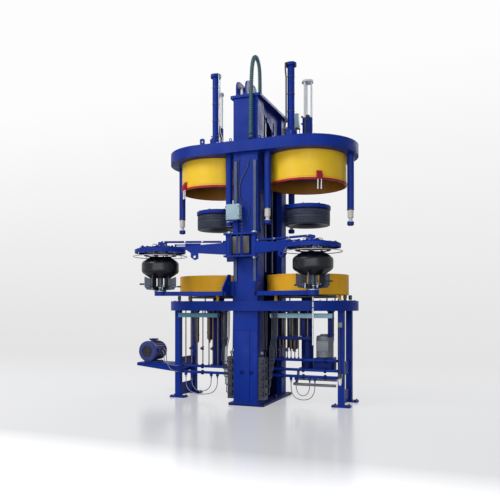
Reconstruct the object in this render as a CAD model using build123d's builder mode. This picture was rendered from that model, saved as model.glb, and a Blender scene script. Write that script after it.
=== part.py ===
"""Twin-cavity column press for curing tyres, in millimetres.

Origin: centre of the base plate's anchor holes, on the floor. +Z is up, the front is -Y,
and the two curing cavities lie at -X (left) and +X (right). The pose is the open press:
the upper beam raised, cured tyres on the unloaders, green tyres waiting on their stands.
"""

import os
from math import atan2, copysign, cos, degrees, hypot, radians, sin, tan

from build123d import *

os.makedirs("parts", exist_ok=True)

# Driving sizes of the frame
cavity_x = 768
seat = 0.3
cut_over = 5
sides = (("left", -1), ("right", 1))

# Base plate and its anchor holes
base_width = 580
base_length = 1440
base_thick = 35
anchor_edge_x = 50
anchor_edge_y = 60
anchor_hole_d = 36

# Column: a front box, a rear box and two web plates between them
column_height = 4660
box_width = 388
box_wall = 20
front_box_y = -710
front_box_depth = 280
rear_box_y = 650
rear_box_depth = 220
web_offset = 85
web_thick = 20
slot_width = 120
slot_low = 2400
slot_below = 360
head_overhang = 30
head_side = 50
cheek_xs = (-150, 0)
cheek_thick = 25
cheek_front_y = -700
cheek_rear_y = -250
cheek_high = 250
cheek_round = 110
cheek_pin_r = 32
cheek_pin_high = 165
head_thick = 40
access_width = 230
access_height = 420
access_low = 520
gusset_height = 420
gusset_thick = 25

# Base platform, a stadium round both cavities, and its legs
ring_over = 185
ring_wall = 55
platform_low = 1437
platform_high = 1587
platform_plate = 45
opening_clear = 12
rib_thick = 30
leg_x = 1370
leg_y = 280
leg_size = 95
foot_length = 285
foot_width = 150
foot_thick = 25
panel_thick = 20
low_panel_high = 230
mid_panel_low = 460
mid_panel_high = 660

# Lower domes, moulds and centre mechanisms
lower_dome_r = 640
lower_dome_wall = 16
lower_dome_low = 1680
lower_dome_high = 1990
lower_dome_floor = 30
dome_post_r = 26
dome_post_at = 560
dome_posts = 3
dome_post_start = {"lower_dome_left": -67, "lower_dome_right": -134}
mould_r = 500
mould_low = lower_dome_low + lower_dome_floor
mould_high = 1950
bladder_r = 160
bladder_low = 1760
bladder_high = 1880
post_r = 45
post_head_r = 120
post_top = 1930
post_ring_thick = 36
post_lift = 200
barrel_r = 95
barrel_low = 500
barrel_flange_r = 150
barrel_flange = 40

# Upper beam, domes and locking rods
beam_low = 3830
beam_high = 4000
beam_deck = 45
dome_r = 605
dome_wall = 15
dome_low = 3385
dome_top_plate = 30
lip_r = 612
lip_height = 24
upper_mould_r = 470
upper_mould_low = 3560
rod_r = 52.5
rod_outer_edge = 109
rod_inner_x = 315
rod_inner_edge = 190
rod_sleeve_low = 2985
rod_polish_r = 45
rod_polish_low = 2860
rod_neck_r = 30
rod_head_high = 2810
rod_head_low = 2740
rod_bevel = 14
rod_nut_r = 50
rod_nut_high = 60
socket_clear = 6
socket_wall = 22
lug_width = 70
lug_thick = 30
lug_high = 90
lug_hole_d = 34
beam_rib_y = 262

# Beam guides and the lift cylinder inside the column
rail_width = 50
rail_thick = 20
rail_y = 160
beam_rail_low = 2050
beam_rail_below = 160
shoe_clear = 0.3
recess_clear = 1
shoe_depth = 30
shoe_high = 110
tie_width = 100
lift_barrel_r = 68
lift_barrel_low = 900
lift_barrel_high = 2380
lift_rod_r = 38

# Cylinders on the beam
crown_x = 626
crown_y = -416
crown_r = 55
crown_low_r = 95
crown_low_high = 4200
crown_top = 5190
crown_cap_r = 85
crown_cap_thick = 45
mould_cyl_r = 82
mould_cyl_high = 4460
mould_flange_r = 125
mould_flange_thick = 35
guide_rod_r = 16
guide_rod_at = 62
guide_rod_top = 5050
guide_plate_r = 92
guide_plate_thick = 28

# Loader rails, carriage, arms and chucks
guide_x = 155
guide_width = 45
guide_thick = 22
loader_rail_low = 1885
loader_rail_high = 3700
pivot_x = 200
pivot_y = 870
carriage_low = 2236
carriage_high = 2590
carriage_plate = 26
carriage_half = 262
back_half = 205
carriage_reach = 965
carriage_post = 40
back_plate = 24
pin_r = 24
hub_r = 52
hub_low = 2275
hub_high = 2460
stand_angle = 18.5
arm_width = 56
arm_tip_high = 52
arm_lug_at = 520
arm_lug_width = 110
arm_lug_drop = 105
arm_lug_hole_d = 42
gripper_cyl_r = 23
gripper_cyl_length = 230
gripper_rod_r = 9
gripper_rod_length = 150
chuck_r = 380
chuck_low = 2325
chuck_thick = 26
chuck_skirt = 24
chuck_skirt_wall = 22
chuck_hub_r = 78
chuck_hub_high = 56
chuck_slot_out = 290
chuck_slot_step = 12
chuck_window_in = 205
chuck_window_angle = 26
chuck_rib_angles = (0, 90, -90)
chuck_rib_thick = 12
chuck_rib_high = 50
chuck_rib_end = 10
finger_count = 4
finger_width = 30
finger_in = 82
finger_out = 126
finger_drop = 60
finger_head = 14
finger_head_width = 58
finger_side = 1
paddle_angle = 34
box_size = 215
box_depth = 110
box_high = 245
box_bottom = 2790
box_gland_r = 16

# Unloader rails, carriage, arms and chucks
unloader_rail_low = 1950
unloader_rail_high = 3760
unload_pivot_x = 300
unload_pivot_y = 950
unload_carriage_low = 2960
unload_carriage_high = 3260
unload_half = 360
unload_reach = 1030
unload_hub_low = 2995
unload_hub_high = 3215
unload_arm_top = 3116
unload_chuck_low = 3040
unload_chuck_r = 362
unload_finger_in = 160
unload_finger_drop = 106

# Tyres
cured_r = 352
cured_width = 236
cured_bore_r = 190
cured_z = 2887
tread_groove_width = 9
tread_groove_depth = 8
tread_rows = 4
green_r = 277
green_low = 1932
green_high = 2242
green_neck_r = 158
green_bore_r = 145
green_barrel = 150
green_wall = 12
green_round = 64
green_slope_share = 0.6

# Stands for the green tyres
stand_arm_low = 1662
stand_arm_high = 1725
stand_arm_width = 80
bracket_x = 250
bracket_reach = 1010
bracket_high = 1986
bracket_thick = 22
bracket_hole_d = 52
stand_hub_r = 62
stand_hub_high = 1802
paddles = 6
paddle_thick = 16
paddle_seat_r = 205
paddle_tip_r = 236

# Under the platform
trough_width = 90
trough_high = 46
trough_wall = 4
trough_y = 420
trough_spans = ((-577, -1280), (302, 1280))
trough_hanger_shares = (0.34, 0.6)
trough_drop = 40
trough_lip = 12
motor_x = 2010
motor_z = 737
motor_r = 165
motor_length = 300
motor_fins = 24
fin_height = 18
fin_thick = 6
motor_foot_width = 230
motor_foot_high = 26
shelf_high = 540
shelf_thick = 20
shelf_half = 190
shelf_brace_low = 400
shelf_brace = 20
shelf_rim = 34
shelf_out = 2230
pump_r = 72
pump_length = 130
cover_r = 176
cover_length = 70
cover_eye_r = 98
cover_recess = 18
port_face_x = 1800
port_front_y = -145
port_rear_y = -55
port_low = 720
port_high = 800
header_r = 22
header_front_y = 330
header_zs = {"left": (535, 435), "right": (690, 540, 440)}
header_clamp = 36
header_clamp_drop = 60
inlet_xs = (-1290, -1246)
inlet_ys = (-402, -320)
inlet_half = 17
manifold_wide = 110
manifold_front_y = -690
manifold_rear_y = -560
manifold_low = 100
manifold_high = 740
valve_size = 64
valve_deep = 38
valve_pitch = 118
valve_count = 5
valve_knob_r = 17
valve_knob = 22
port_r = 19
port_long = 26
hose_r = 6.5

# Routes of the hoses that hang in loops below the lowest headers, two on each side
loop_routes = (
    (
        (-1208, -330, 380), (-1208, -330, 270), (-1194, -335, 190), (-1120, -341, 104), (-924, -344, 72),
        (-728, -341, 104), (-654, -335, 190), (-640, -330, 270), (-640, -330, 380),
    ),
    (
        (-1100, -330, 380), (-1100, -330, 290), (-1090, -333, 225), (-1036, -337, 152), (-925, -339, 124),
        (-814, -337, 152), (-760, -333, 225), (-750, -330, 290), (-750, -330, 380),
    ),
    (
        (600, -330, 380), (600, -330, 270), (611, -335, 190), (664, -341, 108), (788, -344, 76),
        (912, -341, 108), (965, -335, 190), (976, -330, 270), (976, -330, 380),
    ),
    (
        (680, -330, 380), (680, -330, 290), (688, -333, 232), (722, -337, 168), (788, -339, 140),
        (854, -337, 168), (888, -333, 232), (896, -330, 290), (896, -330, 380),
    ),
)

# Routes of the two hoses from the pump's port block, round the left leg frame to the headers
pump_routes = (
    (
        (-1800, -78, 778), (-1752, -78, 778), (-1706, -100, 748), (-1672, -160, 660), (-1606, -262, 560),
        (-1506, -350, 484), (-1420, -383, 443), (-1345, -386, 435), (-1290, -386, 435),
    ),
    (
        (-1800, -122, 745), (-1758, -122, 745), (-1722, -150, 716), (-1688, -214, 640), (-1618, -304, 575),
        (-1520, -368, 548), (-1430, -384, 537), (-1355, -386, 535), (-1290, -386, 535),
    ),
)

# Conduit over the top of the column
conduit_r = 30
conduit_bore_r = 21
conduit_x = 135
conduit_front_y = 775
clamp_width = 90
clamp_high = 60
conduit_rear_y = 500
conduit_low = 4015
conduit_rise = 400
conduit_first = 430
conduit_lean = 160


def note(part, name):
    """Label a finished piece and write it."""
    part.label = name
    export_step(part, f"parts/{name}.step")


def upright(x, y):
    """Drawing plane through the vertical line at x, y: across is X and up is Z."""
    return Plane(origin=(x, y, 0), x_dir=(1, 0, 0), z_dir=(0, -1, 0))


def turned(points, x, y, mode=Mode.ADD):
    """Turn an outline of (radius, height) points about the vertical line at x, y."""
    with BuildSketch(upright(x, y)) as outline:
        with BuildLine():
            Polyline(*points, close=True)
        make_face()
    revolve(outline.sketch, axis=Axis((x, y, 0), (0, 0, 1)), mode=mode)


def column(x, y, radius, low, high, mode=Mode.ADD, bore=0):
    """Upright cylinder between two levels, with a bore if one is given."""
    with BuildSketch(Plane.XY.offset(low)) as disc:
        with Locations((x, y)):
            Circle(radius)
            if bore:
                Circle(bore, mode=Mode.SUBTRACT)
    extrude(disc.sketch, amount=high - low, mode=mode)


def block(xs, ys, zs, mode=Mode.ADD):
    """Upright block between pairs of X, Y and Z values."""
    with BuildSketch(Plane.XY.offset(zs[0])) as base:
        with Locations(((xs[0] + xs[1]) / 2, (ys[0] + ys[1]) / 2)):
            Rectangle(abs(xs[1] - xs[0]), abs(ys[1] - ys[0]))
    extrude(base.sketch, amount=zs[1] - zs[0], mode=mode)


def stadium(radius, mode=Mode.ADD):
    """Round-ended outline round both cavities, in the sketch that is open."""
    SlotCenterToCenter(2 * cavity_x, 2 * radius, mode=mode)


def column_openings(clear):
    """Cut the column's outline, opened out by a clearance, from the sketch that is open."""
    box_half = box_width / 2 + clear
    inner = ring_r - ring_wall
    front_end = front_box_y + front_box_depth + clear
    rear_start = rear_box_y - rear_box_depth - clear
    web_half = web_offset + web_thick + rail_thick + clear
    with Locations((0, (front_end - inner) / 2)):
        Rectangle(2 * box_half, front_end + inner, mode=Mode.SUBTRACT)
    with Locations((0, (rear_start + inner) / 2)):
        Rectangle(2 * box_half, inner - rear_start, mode=Mode.SUBTRACT)
    with Locations((0, (front_end + rear_start) / 2)):
        Rectangle(2 * web_half, rear_start - front_end, mode=Mode.SUBTRACT)


def rod_places():
    """The six locking rods: one outside and two inside each cavity."""
    places = []
    for _, side in sides:
        places += [(side * rod_outer_x, 0), (side * rod_inner_x, -rod_inner_y)]
        places += [(side * rod_inner_x, rod_inner_y)]
    return places


def make_base_plate():
    with BuildPart() as plate:
        with BuildSketch():
            RectangleRounded(base_width, base_length, base_thick)
            with GridLocations(base_width - 2 * anchor_edge_x, base_length - 2 * anchor_edge_y, 2, 2):
                Circle(anchor_hole_d / 2, mode=Mode.SUBTRACT)
        extrude(amount=base_thick)
    note(plate.part, "base_plate")


def make_column_box(name, outer_y, inner_y):
    """One welded box of the column, with an access opening low on its outer face."""
    depth = abs(outer_y - inner_y)
    with BuildPart() as box:
        with BuildSketch(Plane.XY.offset(base_thick)):
            with Locations((0, (outer_y + inner_y) / 2)):
                Rectangle(box_width, depth)
                Rectangle(box_width - 2 * box_wall, depth - 2 * box_wall, mode=Mode.SUBTRACT)
        extrude(amount=column_height - base_thick)
        with BuildSketch(Plane.XZ.offset(-outer_y)):
            with Locations((0, access_low + access_height / 2)):
                RectangleRounded(access_width, access_height, box_wall)
        extrude(amount=box_wall + cut_over, both=True, mode=Mode.SUBTRACT)
        if outer_y < inner_y:
            clamp_x = conduit_points()[0][0]
            ys = (outer_y, -conduit_front_y)
            levels = (conduit_low, conduit_low + clamp_high)
            block((clamp_x - clamp_width / 2, clamp_x + clamp_width / 2), ys, levels)
            column(clamp_x, -conduit_front_y, conduit_r + seat, *levels, Mode.SUBTRACT)
    note(box.part, name)


def make_webs():
    """Two web plates with a long slot for the beam's tie, and the plates across them."""
    front_end = front_box_y + front_box_depth
    rear_start = rear_box_y - rear_box_depth
    with BuildPart() as webs:
        for side in (-1, 1):
            with BuildSketch(Plane.YZ.offset(side * (web_offset + web_thick / 2))):
                with Locations(((front_end + rear_start) / 2, (base_thick + column_height) / 2)):
                    Rectangle(rear_start - front_end, column_height - base_thick)
                with Locations((0, (slot_low + slot_high) / 2)):
                    SlotOverall(slot_high - slot_low, slot_width, rotation=90, mode=Mode.SUBTRACT)
            extrude(amount=web_thick / 2, both=True)
        for level in (platform_high, slot_high + slot_width):
            with BuildSketch(Plane.XY.offset(level)):
                with Locations((0, (front_end + rear_start) / 2)):
                    Rectangle(2 * web_offset, rear_start - front_end)
                Circle(lift_barrel_r + seat, mode=Mode.SUBTRACT)
            extrude(amount=web_thick)
    note(webs.part, "column_webs")


def make_beam_rails():
    """Hardened strips on the webs that guide the beam."""
    with BuildPart() as rails:
        for side in (-1, 1):
            for y in (-rail_y, rail_y):
                x = side * (web_offset + web_thick)
                ys = (y - rail_width / 2, y + rail_width / 2)
                block((x, x + side * rail_thick), ys, (beam_rail_low, beam_rail_high))
    note(rails.part, "beam_rails")


def make_column_head():
    """Cap plate over the column, with two lifting lugs and sloping stiffeners below it."""
    front_end = front_box_y + front_box_depth
    rear_start = rear_box_y - rear_box_depth
    with BuildPart() as head:
        with BuildSketch(Plane.XY.offset(column_height)):
            with Locations((0, (front_box_y + rear_box_y) / 2)):
                length = rear_box_y - front_box_y + 2 * head_overhang
                RectangleRounded(box_width + 2 * head_side, length, head_overhang)
            Rectangle(web_offset, rear_start, mode=Mode.SUBTRACT)
        extrude(amount=head_thick)
        for x in (-box_width / 4, box_width / 4):
            with BuildSketch(Plane.YZ.offset(x)):
                with Locations((rear_start + rear_box_depth / 2, column_height + head_thick + lug_high / 2)):
                    RectangleRounded(rear_box_depth / 2, lug_high, lug_hole_d / 2)
                    Circle(lug_hole_d / 2, mode=Mode.SUBTRACT)
            extrude(amount=lug_thick / 2, both=True)
        for side in (-1, 1):
            with BuildSketch(Plane.YZ.offset(side * (web_offset + web_thick + gusset_thick))):
                with BuildLine():
                    Polyline(
                        (rear_start, column_height),
                        (rear_start, column_height - gusset_height),
                        (rear_start - gusset_height / 5, column_height - gusset_height),
                        (front_end, column_height - gusset_height / 5),
                        (front_end, column_height),
                        close=True,
                    )
                make_face()
            extrude(amount=gusset_thick / 2, both=True)
        for side in (-1, 1):
            for y in (-rail_y, rail_y):
                x = side * (web_offset + web_thick)
                over = shoe_clear + rail_width / 2
                xs = (x, x + side * (rail_thick + 2 * gusset_thick))
                block(xs, (y - over, y + over), (0, beam_rail_high + shoe_clear), mode=Mode.SUBTRACT)
        front, rear = cheek_front_y, cheek_rear_y
        middle = (front + rear) / 2
        for x in cheek_xs:
            with BuildSketch(Plane.YZ.offset(x)) as cheek:
                with Locations((middle, column_height + head_thick + cheek_high / 2)):
                    Rectangle(rear - front, cheek_high)
                fillet(cheek.vertices().group_by(Axis.Y)[-1], cheek_round)
            extrude(cheek.sketch, amount=cheek_thick / 2, both=True)
        with BuildSketch(Plane.YZ.offset(cheek_xs[0] - cheek_thick)) as pin:
            with Locations((middle, column_height + head_thick + cheek_pin_high)):
                Circle(cheek_pin_r)
        extrude(pin.sketch, amount=cheek_xs[1] - cheek_xs[0] + 2 * cheek_thick)
    note(head.part, "column_head")


def make_platform():
    """Fabricated base: top plate, rim and ribs, with sockets for the six rod heads."""
    bore = rod_r + socket_clear
    with BuildPart() as platform:
        with BuildSketch(Plane.XY.offset(platform_high - platform_plate)):
            stadium(ring_r)
            column_openings(seat)
        extrude(amount=platform_plate)
        with BuildSketch(Plane.XY.offset(platform_low)):
            stadium(ring_r)
            stadium(ring_r - ring_wall / 2, mode=Mode.SUBTRACT)
            for _, side in sides:
                with Locations((side * cavity_x, 0)):
                    Circle(barrel_r + seat + rib_thick)
                for turn in (55, 125, 235, 305):
                    x = side * cavity_x + ring_r / 2 * cos(radians(turn))
                    with Locations(Location((x, ring_r / 2 * sin(radians(turn))), turn)):
                        Rectangle(ring_r - ring_wall / 2, rib_thick)
            for place in rod_places():
                with Locations(place):
                    Circle(bore + socket_wall)
            column_openings(seat)
        extrude(amount=platform_high - platform_plate - platform_low)
        for _, side in sides:
            column(side * cavity_x, 0, barrel_r + seat, platform_low, platform_high, Mode.SUBTRACT)
        for x, y in rod_places():
            column(x, y, bore, platform_low, platform_high, Mode.SUBTRACT)
    note(platform.part, "base_platform")


def make_leg_frames():
    """Two frames, each of two square posts with feet, tied by a low and a middle panel."""
    half = leg_size / 2
    with BuildPart() as frames:
        for _, side in sides:
            x = side * leg_x
            for y in (-leg_y, leg_y):
                with BuildSketch():
                    with Locations((x, y)):
                        RectangleRounded(foot_length, foot_width, foot_thick)
                extrude(amount=foot_thick)
                with BuildSketch(Plane.XY.offset(foot_thick)):
                    with Locations((x, y)):
                        RectangleRounded(leg_size, leg_size, leg_size / 10)
                extrude(amount=platform_high - platform_plate - foot_thick)
            between = (-leg_y + half, leg_y - half)
            xs = (x - panel_thick / 2, x + panel_thick / 2)
            block(xs, between, (foot_thick, low_panel_high))
            block(xs, between, (mid_panel_low, mid_panel_high))
    note(frames.part, "leg_frames")


def make_lower_dome(name, side):
    """Open ring on short posts, with a flanged rim and a floor pierced for the barrel."""
    x = side * cavity_x
    inner = lower_dome_r - lower_dome_wall
    rim = lower_dome_high - lower_dome_floor
    with BuildPart() as dome:
        turned(
            [
                (barrel_flange_r + seat, lower_dome_low),
                (lower_dome_r, lower_dome_low),
                (lower_dome_r, lower_dome_high),
                (inner - lower_dome_wall, lower_dome_high),
                (inner - lower_dome_wall, rim),
                (inner, rim),
                (inner, lower_dome_low + lower_dome_floor),
                (barrel_flange_r + seat, lower_dome_low + lower_dome_floor),
            ],
            x,
            0,
        )
        for step in range(dome_posts):
            turn = radians(dome_post_start[name] + step * 360 / dome_posts)
            across = x + dome_post_at * cos(turn)
            column(across, dome_post_at * sin(turn), dome_post_r, platform_high, lower_dome_low)
    note(dome.part, name)


def make_lower_moulds():
    """Lower mould halves with the recess that takes a tyre's lower side."""
    drop = cured_width / 2 + recess_clear
    wide = cured_r + recess_clear
    inner = cured_bore_r - paddle_thick
    with BuildPart() as moulds:
        for _, side in sides:
            x = side * cavity_x
            with BuildSketch(upright(x, 0)) as outline:
                with BuildLine():
                    Polyline(
                        (wide, mould_high),
                        (mould_r, mould_high),
                        (mould_r, mould_low),
                        (inner, mould_low),
                        (inner, mould_high - drop),
                        (cured_bore_r + drop / 2, mould_high - drop),
                    )
                    TangentArc(
                        (cured_bore_r + drop / 2, mould_high - drop),
                        (wide, mould_high),
                        tangent=(1, 0),
                    )
                make_face()
            revolve(outline.sketch, axis=Axis((x, 0, 0), (0, 0, 1)))
    note(moulds.part, "lower_moulds")


def make_bladders():
    """Rubber bladders folded down round the centre posts, open through their middles."""
    mid = (bladder_low + bladder_high) / 2
    inner = post_r + post_ring_thick
    with BuildPart() as bladders:
        for _, side in sides:
            x = side * cavity_x
            with BuildSketch(upright(x, 0)) as outline:
                with BuildLine():
                    Polyline((post_head_r, bladder_high), (inner, bladder_high), (inner, bladder_low))
                    Line((inner, bladder_low), (post_head_r, bladder_low))
                    ThreePointArc((post_head_r, bladder_low), (bladder_r, mid), (post_head_r, bladder_high))
                make_face()
            revolve(outline.sketch, axis=Axis((x, 0, 0), (0, 0, 1)))
    note(bladders.part, "bladders")


def make_centre_post(name, side):
    """Post and clamp ring that lift the top of the bladder."""
    x = side * cavity_x
    bottom = barrel_low + barrel_flange + post_lift
    with BuildPart() as post:
        turned(
            [
                (0, bottom),
                (post_r, bottom),
                (post_r, bladder_high + seat),
                (post_head_r, bladder_high + seat),
                (post_head_r, post_top - post_ring_thick / 4),
                (post_head_r - post_ring_thick / 4, post_top),
                (0, post_top),
            ],
            x,
            0,
        )
    note(post.part, name)


def make_centre_barrels():
    """Cylinders under the cavities, with the bladder's fixed clamp ring at the top."""
    with BuildPart() as barrels:
        for _, side in sides:
            turned(
                [
                    (post_r + seat, barrel_low + barrel_flange),
                    (0, barrel_low + barrel_flange),
                    (0, barrel_low),
                    (barrel_r + barrel_flange, barrel_low),
                    (barrel_r + barrel_flange, barrel_low + barrel_flange),
                    (barrel_r, barrel_low + barrel_flange),
                    (barrel_r, lower_dome_low),
                    (barrel_flange_r, lower_dome_low),
                    (barrel_flange_r, mould_low),
                    (barrel_flange_r - paddle_thick, bladder_low - seat),
                    (post_r + seat, bladder_low - seat),
                ],
                side * cavity_x,
                0,
            )
    note(barrels.part, "centre_cylinders")


def make_upper_beam():
    """Stadium ring with a deck, ribs, guide shoes, a tie through the column and lugs."""
    inner = ring_r - ring_wall
    shoe_x = web_offset + web_thick + rail_thick + shoe_clear
    with BuildPart() as beam:
        with BuildSketch(Plane.XY.offset(beam_low)):
            stadium(ring_r)
            stadium(inner, mode=Mode.SUBTRACT)
        extrude(amount=beam_high - beam_low)
        with BuildSketch(Plane.XY.offset(beam_low)):
            stadium(inner + cut_over)
            column_openings(opening_clear)
            for x, y in rod_places():
                with Locations((x, y)):
                    Circle(rod_neck_r + socket_clear, mode=Mode.SUBTRACT)
        extrude(amount=beam_deck)
        for _, side in sides:
            edge = side * (web_offset + web_thick + rail_thick + opening_clear)
            for y in (-rail_y, rail_y):
                ys = (y - rail_width / 2, y + rail_width / 2)
                xs = (side * shoe_x, edge + side * shoe_depth)
                block(xs, ys, (beam_low, beam_low + shoe_high))
            far = side * (cavity_x + ring_r - ring_wall / 2)
            for y in (-beam_rib_y, beam_rib_y):
                block((edge + side * box_width / 2, side * cavity_x), (y - rib_thick / 2, y + rib_thick / 2),
                      (beam_low + beam_deck, beam_high))
            block((side * (cavity_x + mould_flange_r * 1.5), far - side * rod_r * 4),
                  (-rib_thick / 2, rib_thick / 2), (beam_low + beam_deck, beam_high))
        tie_end = shoe_x + opening_clear + shoe_depth
        block((-tie_end, tie_end), (-tie_width / 2, tie_width / 2), (beam_low + beam_deck, beam_high))
        for x in (-cavity_x + lug_width, cavity_x - lug_width):
            with BuildSketch(Plane.XZ.offset(ring_r - ring_wall / 2)) as lug:
                with Locations((x, beam_high + lug_high / 2)):
                    RectangleRounded(lug_width, lug_high, lug_hole_d / 2)
                    Circle(lug_hole_d / 2, mode=Mode.SUBTRACT)
            extrude(lug.sketch, amount=lug_thick / 2, both=True)
    note(beam.part, "upper_beam")


def make_upper_dome(name, side):
    """Round steam dome, open below, closed by a plate that hangs on the beam."""
    x = side * cavity_x
    inner = dome_r - dome_wall
    top = beam_low - dome_top_plate
    with BuildPart() as dome:
        turned(
            [
                (inner, dome_low),
                (dome_r, dome_low),
                (dome_r, beam_low),
                (0, beam_low),
                (0, top),
                (inner, top),
            ],
            x,
            0,
        )
    note(dome.part, name)


def make_dome_lips():
    """Sealing lips round the open rims of the two domes."""
    with BuildPart() as lips:
        for _, side in sides:
            turned(
                [
                    (dome_r - dome_wall, dome_low - lip_height / 3),
                    (lip_r, dome_low - lip_height / 3),
                    (lip_r, dome_low + lip_height),
                    (dome_r + seat, dome_low + lip_height),
                    (dome_r + seat, dome_low),
                    (dome_r - dome_wall, dome_low),
                ],
                side * cavity_x,
                0,
            )
    note(lips.part, "dome_lips")


def make_upper_moulds():
    """Upper mould halves with their recesses, on bolster plates under the dome tops."""
    drop = cured_width / 2 + recess_clear
    wide = cured_r + recess_clear
    low = upper_mould_low
    top = beam_low - dome_top_plate
    with BuildPart() as moulds:
        for _, side in sides:
            x = side * cavity_x
            with BuildSketch(upright(x, 0)) as outline:
                with BuildLine():
                    Polyline(
                        (wide, low),
                        (upper_mould_r, low),
                        (upper_mould_r, top - barrel_flange),
                        (upper_mould_r + barrel_flange, top - barrel_flange),
                        (upper_mould_r + barrel_flange, top),
                        (cured_bore_r, top),
                        (cured_bore_r, low + drop),
                        (cured_bore_r + drop / 2, low + drop),
                    )
                    TangentArc(
                        (cured_bore_r + drop / 2, low + drop),
                        (wide, low),
                        tangent=(1, 0),
                    )
                make_face()
            revolve(outline.sketch, axis=Axis((x, 0, 0), (0, 0, 1)))
    note(moulds.part, "upper_moulds")


def make_locking_rods():
    """Six rods with a sleeve, a polished shank, a neck and a bevelled round head."""
    with BuildPart() as rods:
        for x, y in rod_places():
            turned(
                [
                    (0, rod_head_low),
                    (rod_r - rod_bevel, rod_head_low),
                    (rod_r, rod_head_low + rod_bevel),
                    (rod_r, rod_head_high - rod_bevel),
                    (rod_r - rod_bevel / 2, rod_head_high),
                    (rod_neck_r, rod_head_high),
                    (rod_neck_r, rod_polish_low),
                    (rod_polish_r, rod_polish_low),
                    (rod_polish_r, rod_sleeve_low),
                    (rod_r, rod_sleeve_low),
                    (rod_r, beam_low),
                    (rod_neck_r, beam_low),
                    (rod_neck_r, beam_low + beam_deck),
                    (rod_nut_r, beam_low + beam_deck),
                    (rod_nut_r, beam_low + beam_deck + rod_nut_high),
                    (0, beam_low + beam_deck + rod_nut_high),
                ],
                x,
                y,
            )
    note(rods.part, "locking_rods")


def make_lift_cylinder():
    """Barrel of the beam's lift cylinder, upright between the webs."""
    with BuildPart() as barrel:
        column(0, 0, lift_barrel_r, lift_barrel_low, lift_barrel_high, bore=lift_rod_r + seat)
        column(0, 0, lift_barrel_r, lift_barrel_low, lift_barrel_low + barrel_flange)
    note(barrel.part, "lift_cylinder")


def make_lift_rod():
    """Rod that pushes on the beam's tie from below."""
    with BuildPart() as rod:
        column(0, 0, lift_rod_r, lift_barrel_high - slot_width, beam_low + beam_deck)
        chamfer(rod.faces().sort_by(Axis.Z)[0].edges(), lift_rod_r / 8)
    note(rod.part, "lift_rod")


def make_crown_cylinders():
    """Tall cylinders on the beam: wide base, slim barrel and capped top."""
    base = beam_low + beam_deck
    with BuildPart() as cylinders:
        for _, side in sides:
            turned(
                [
                    (0, base),
                    (crown_low_r + crown_cap_thick / 2, base),
                    (crown_low_r + crown_cap_thick / 2, base + crown_cap_thick),
                    (crown_low_r, base + crown_cap_thick),
                    (crown_low_r, crown_low_high - crown_cap_thick),
                    (crown_r, crown_low_high),
                    (crown_r, crown_top - crown_cap_thick),
                    (crown_cap_r, crown_top - crown_cap_thick),
                    (crown_cap_r, crown_top),
                    (0, crown_top),
                ],
                side * crown_x,
                crown_y,
            )
    note(cylinders.part, "crown_cylinders")


def make_mould_cylinders():
    """Short thick cylinders over the cavities, with their guide rods and top plates."""
    base = beam_low + beam_deck
    with BuildPart() as cylinders:
        for _, side in sides:
            x = side * cavity_x
            turned(
                [
                    (0, base),
                    (mould_flange_r, base),
                    (mould_flange_r, base + mould_flange_thick),
                    (mould_cyl_r, base + mould_flange_thick),
                    (mould_cyl_r, mould_cyl_high),
                    (0, mould_cyl_high),
                ],
                x,
                0,
            )
            column(x, 0, guide_plate_r, guide_rod_top - guide_plate_thick, guide_rod_top)
            with BuildSketch(Plane.XY.offset(mould_cyl_high)):
                with Locations((x, 0)):
                    with PolarLocations(guide_rod_at, 3):
                        Circle(guide_rod_r)
            extrude(amount=guide_rod_top - guide_plate_thick - mould_cyl_high)
    note(cylinders.part, "mould_cylinders")


def make_guide_rails(name, face_y, out, low, high):
    """Pair of upright rails on an outer face of the column."""
    with BuildPart() as rails:
        for side in (-1, 1):
            x = side * guide_x
            xs = (x - guide_width / 2, x + guide_width / 2)
            block(xs, (face_y, face_y + out * guide_thick), (low, high))
    note(rails.part, name)


def make_carriage(name, face_y, out, low, high, half, reach, pivot, hub):
    """Back plate on the rails, top and bottom plates, posts and the two pivot pins."""
    back = face_y + out * (guide_thick + shoe_clear)
    front = back + out * back_plate
    with BuildPart() as carriage:
        block((-back_half, back_half), (back, front), (low, high))
        for level in (low, high - carriage_plate):
            with BuildSketch(Plane.XY.offset(level)):
                with BuildLine():
                    Polyline(
                        (-half, front),
                        (half, front),
                        (half, pivot[1] * out),
                        (pivot[0] + hub_r, reach * out),
                        (-pivot[0] - hub_r, reach * out),
                        (-half, pivot[1] * out),
                        close=True,
                    )
                make_face()
            extrude(amount=carriage_plate)
        inside = (low + carriage_plate, high - carriage_plate)
        for x in (-carriage_post, carriage_post):
            xs = (x - carriage_post / 4, x + carriage_post / 4)
            block(xs, (front, out * reach * 0.98), inside)
        for side in (-1, 1):
            column(side * pivot[0], out * pivot[1], pin_r, *inside)
            for level in (hub[0] - shoe_clear, hub[1] + shoe_clear):
                start, stop = (inside[0], level) if level < hub[1] else (level, inside[1])
                column(side * pivot[0], out * pivot[1], hub_r, start, stop)
        for side in (-1, 1):
            gap = out * shoe_clear
            rail_side = side * (guide_x + guide_width / 2 + shoe_clear)
            block((rail_side, side * (guide_x + guide_width)), (face_y + gap, back), (low, high))
    note(carriage.part, name)


def arm_plane(side, out, pivot, turn):
    """Plane at a pivot whose X runs along the arm in its resting place."""
    along = radians(turn)
    return Plane(
        origin=(side * pivot[0], out * pivot[1], 0),
        x_dir=(side * cos(along), out * sin(along), 0),
        z_dir=(0, 0, 1),
    )


def local_disc(plane, x, y, radius, low, high, mode=Mode.ADD, bore=0):
    """Upright cylinder at a place given on an arm's plane."""
    with BuildSketch(plane.offset(low)) as disc:
        with Locations((x, y)):
            Circle(radius)
            if bore:
                Circle(bore, mode=Mode.SUBTRACT)
    extrude(disc.sketch, amount=high - low, mode=mode)


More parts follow.
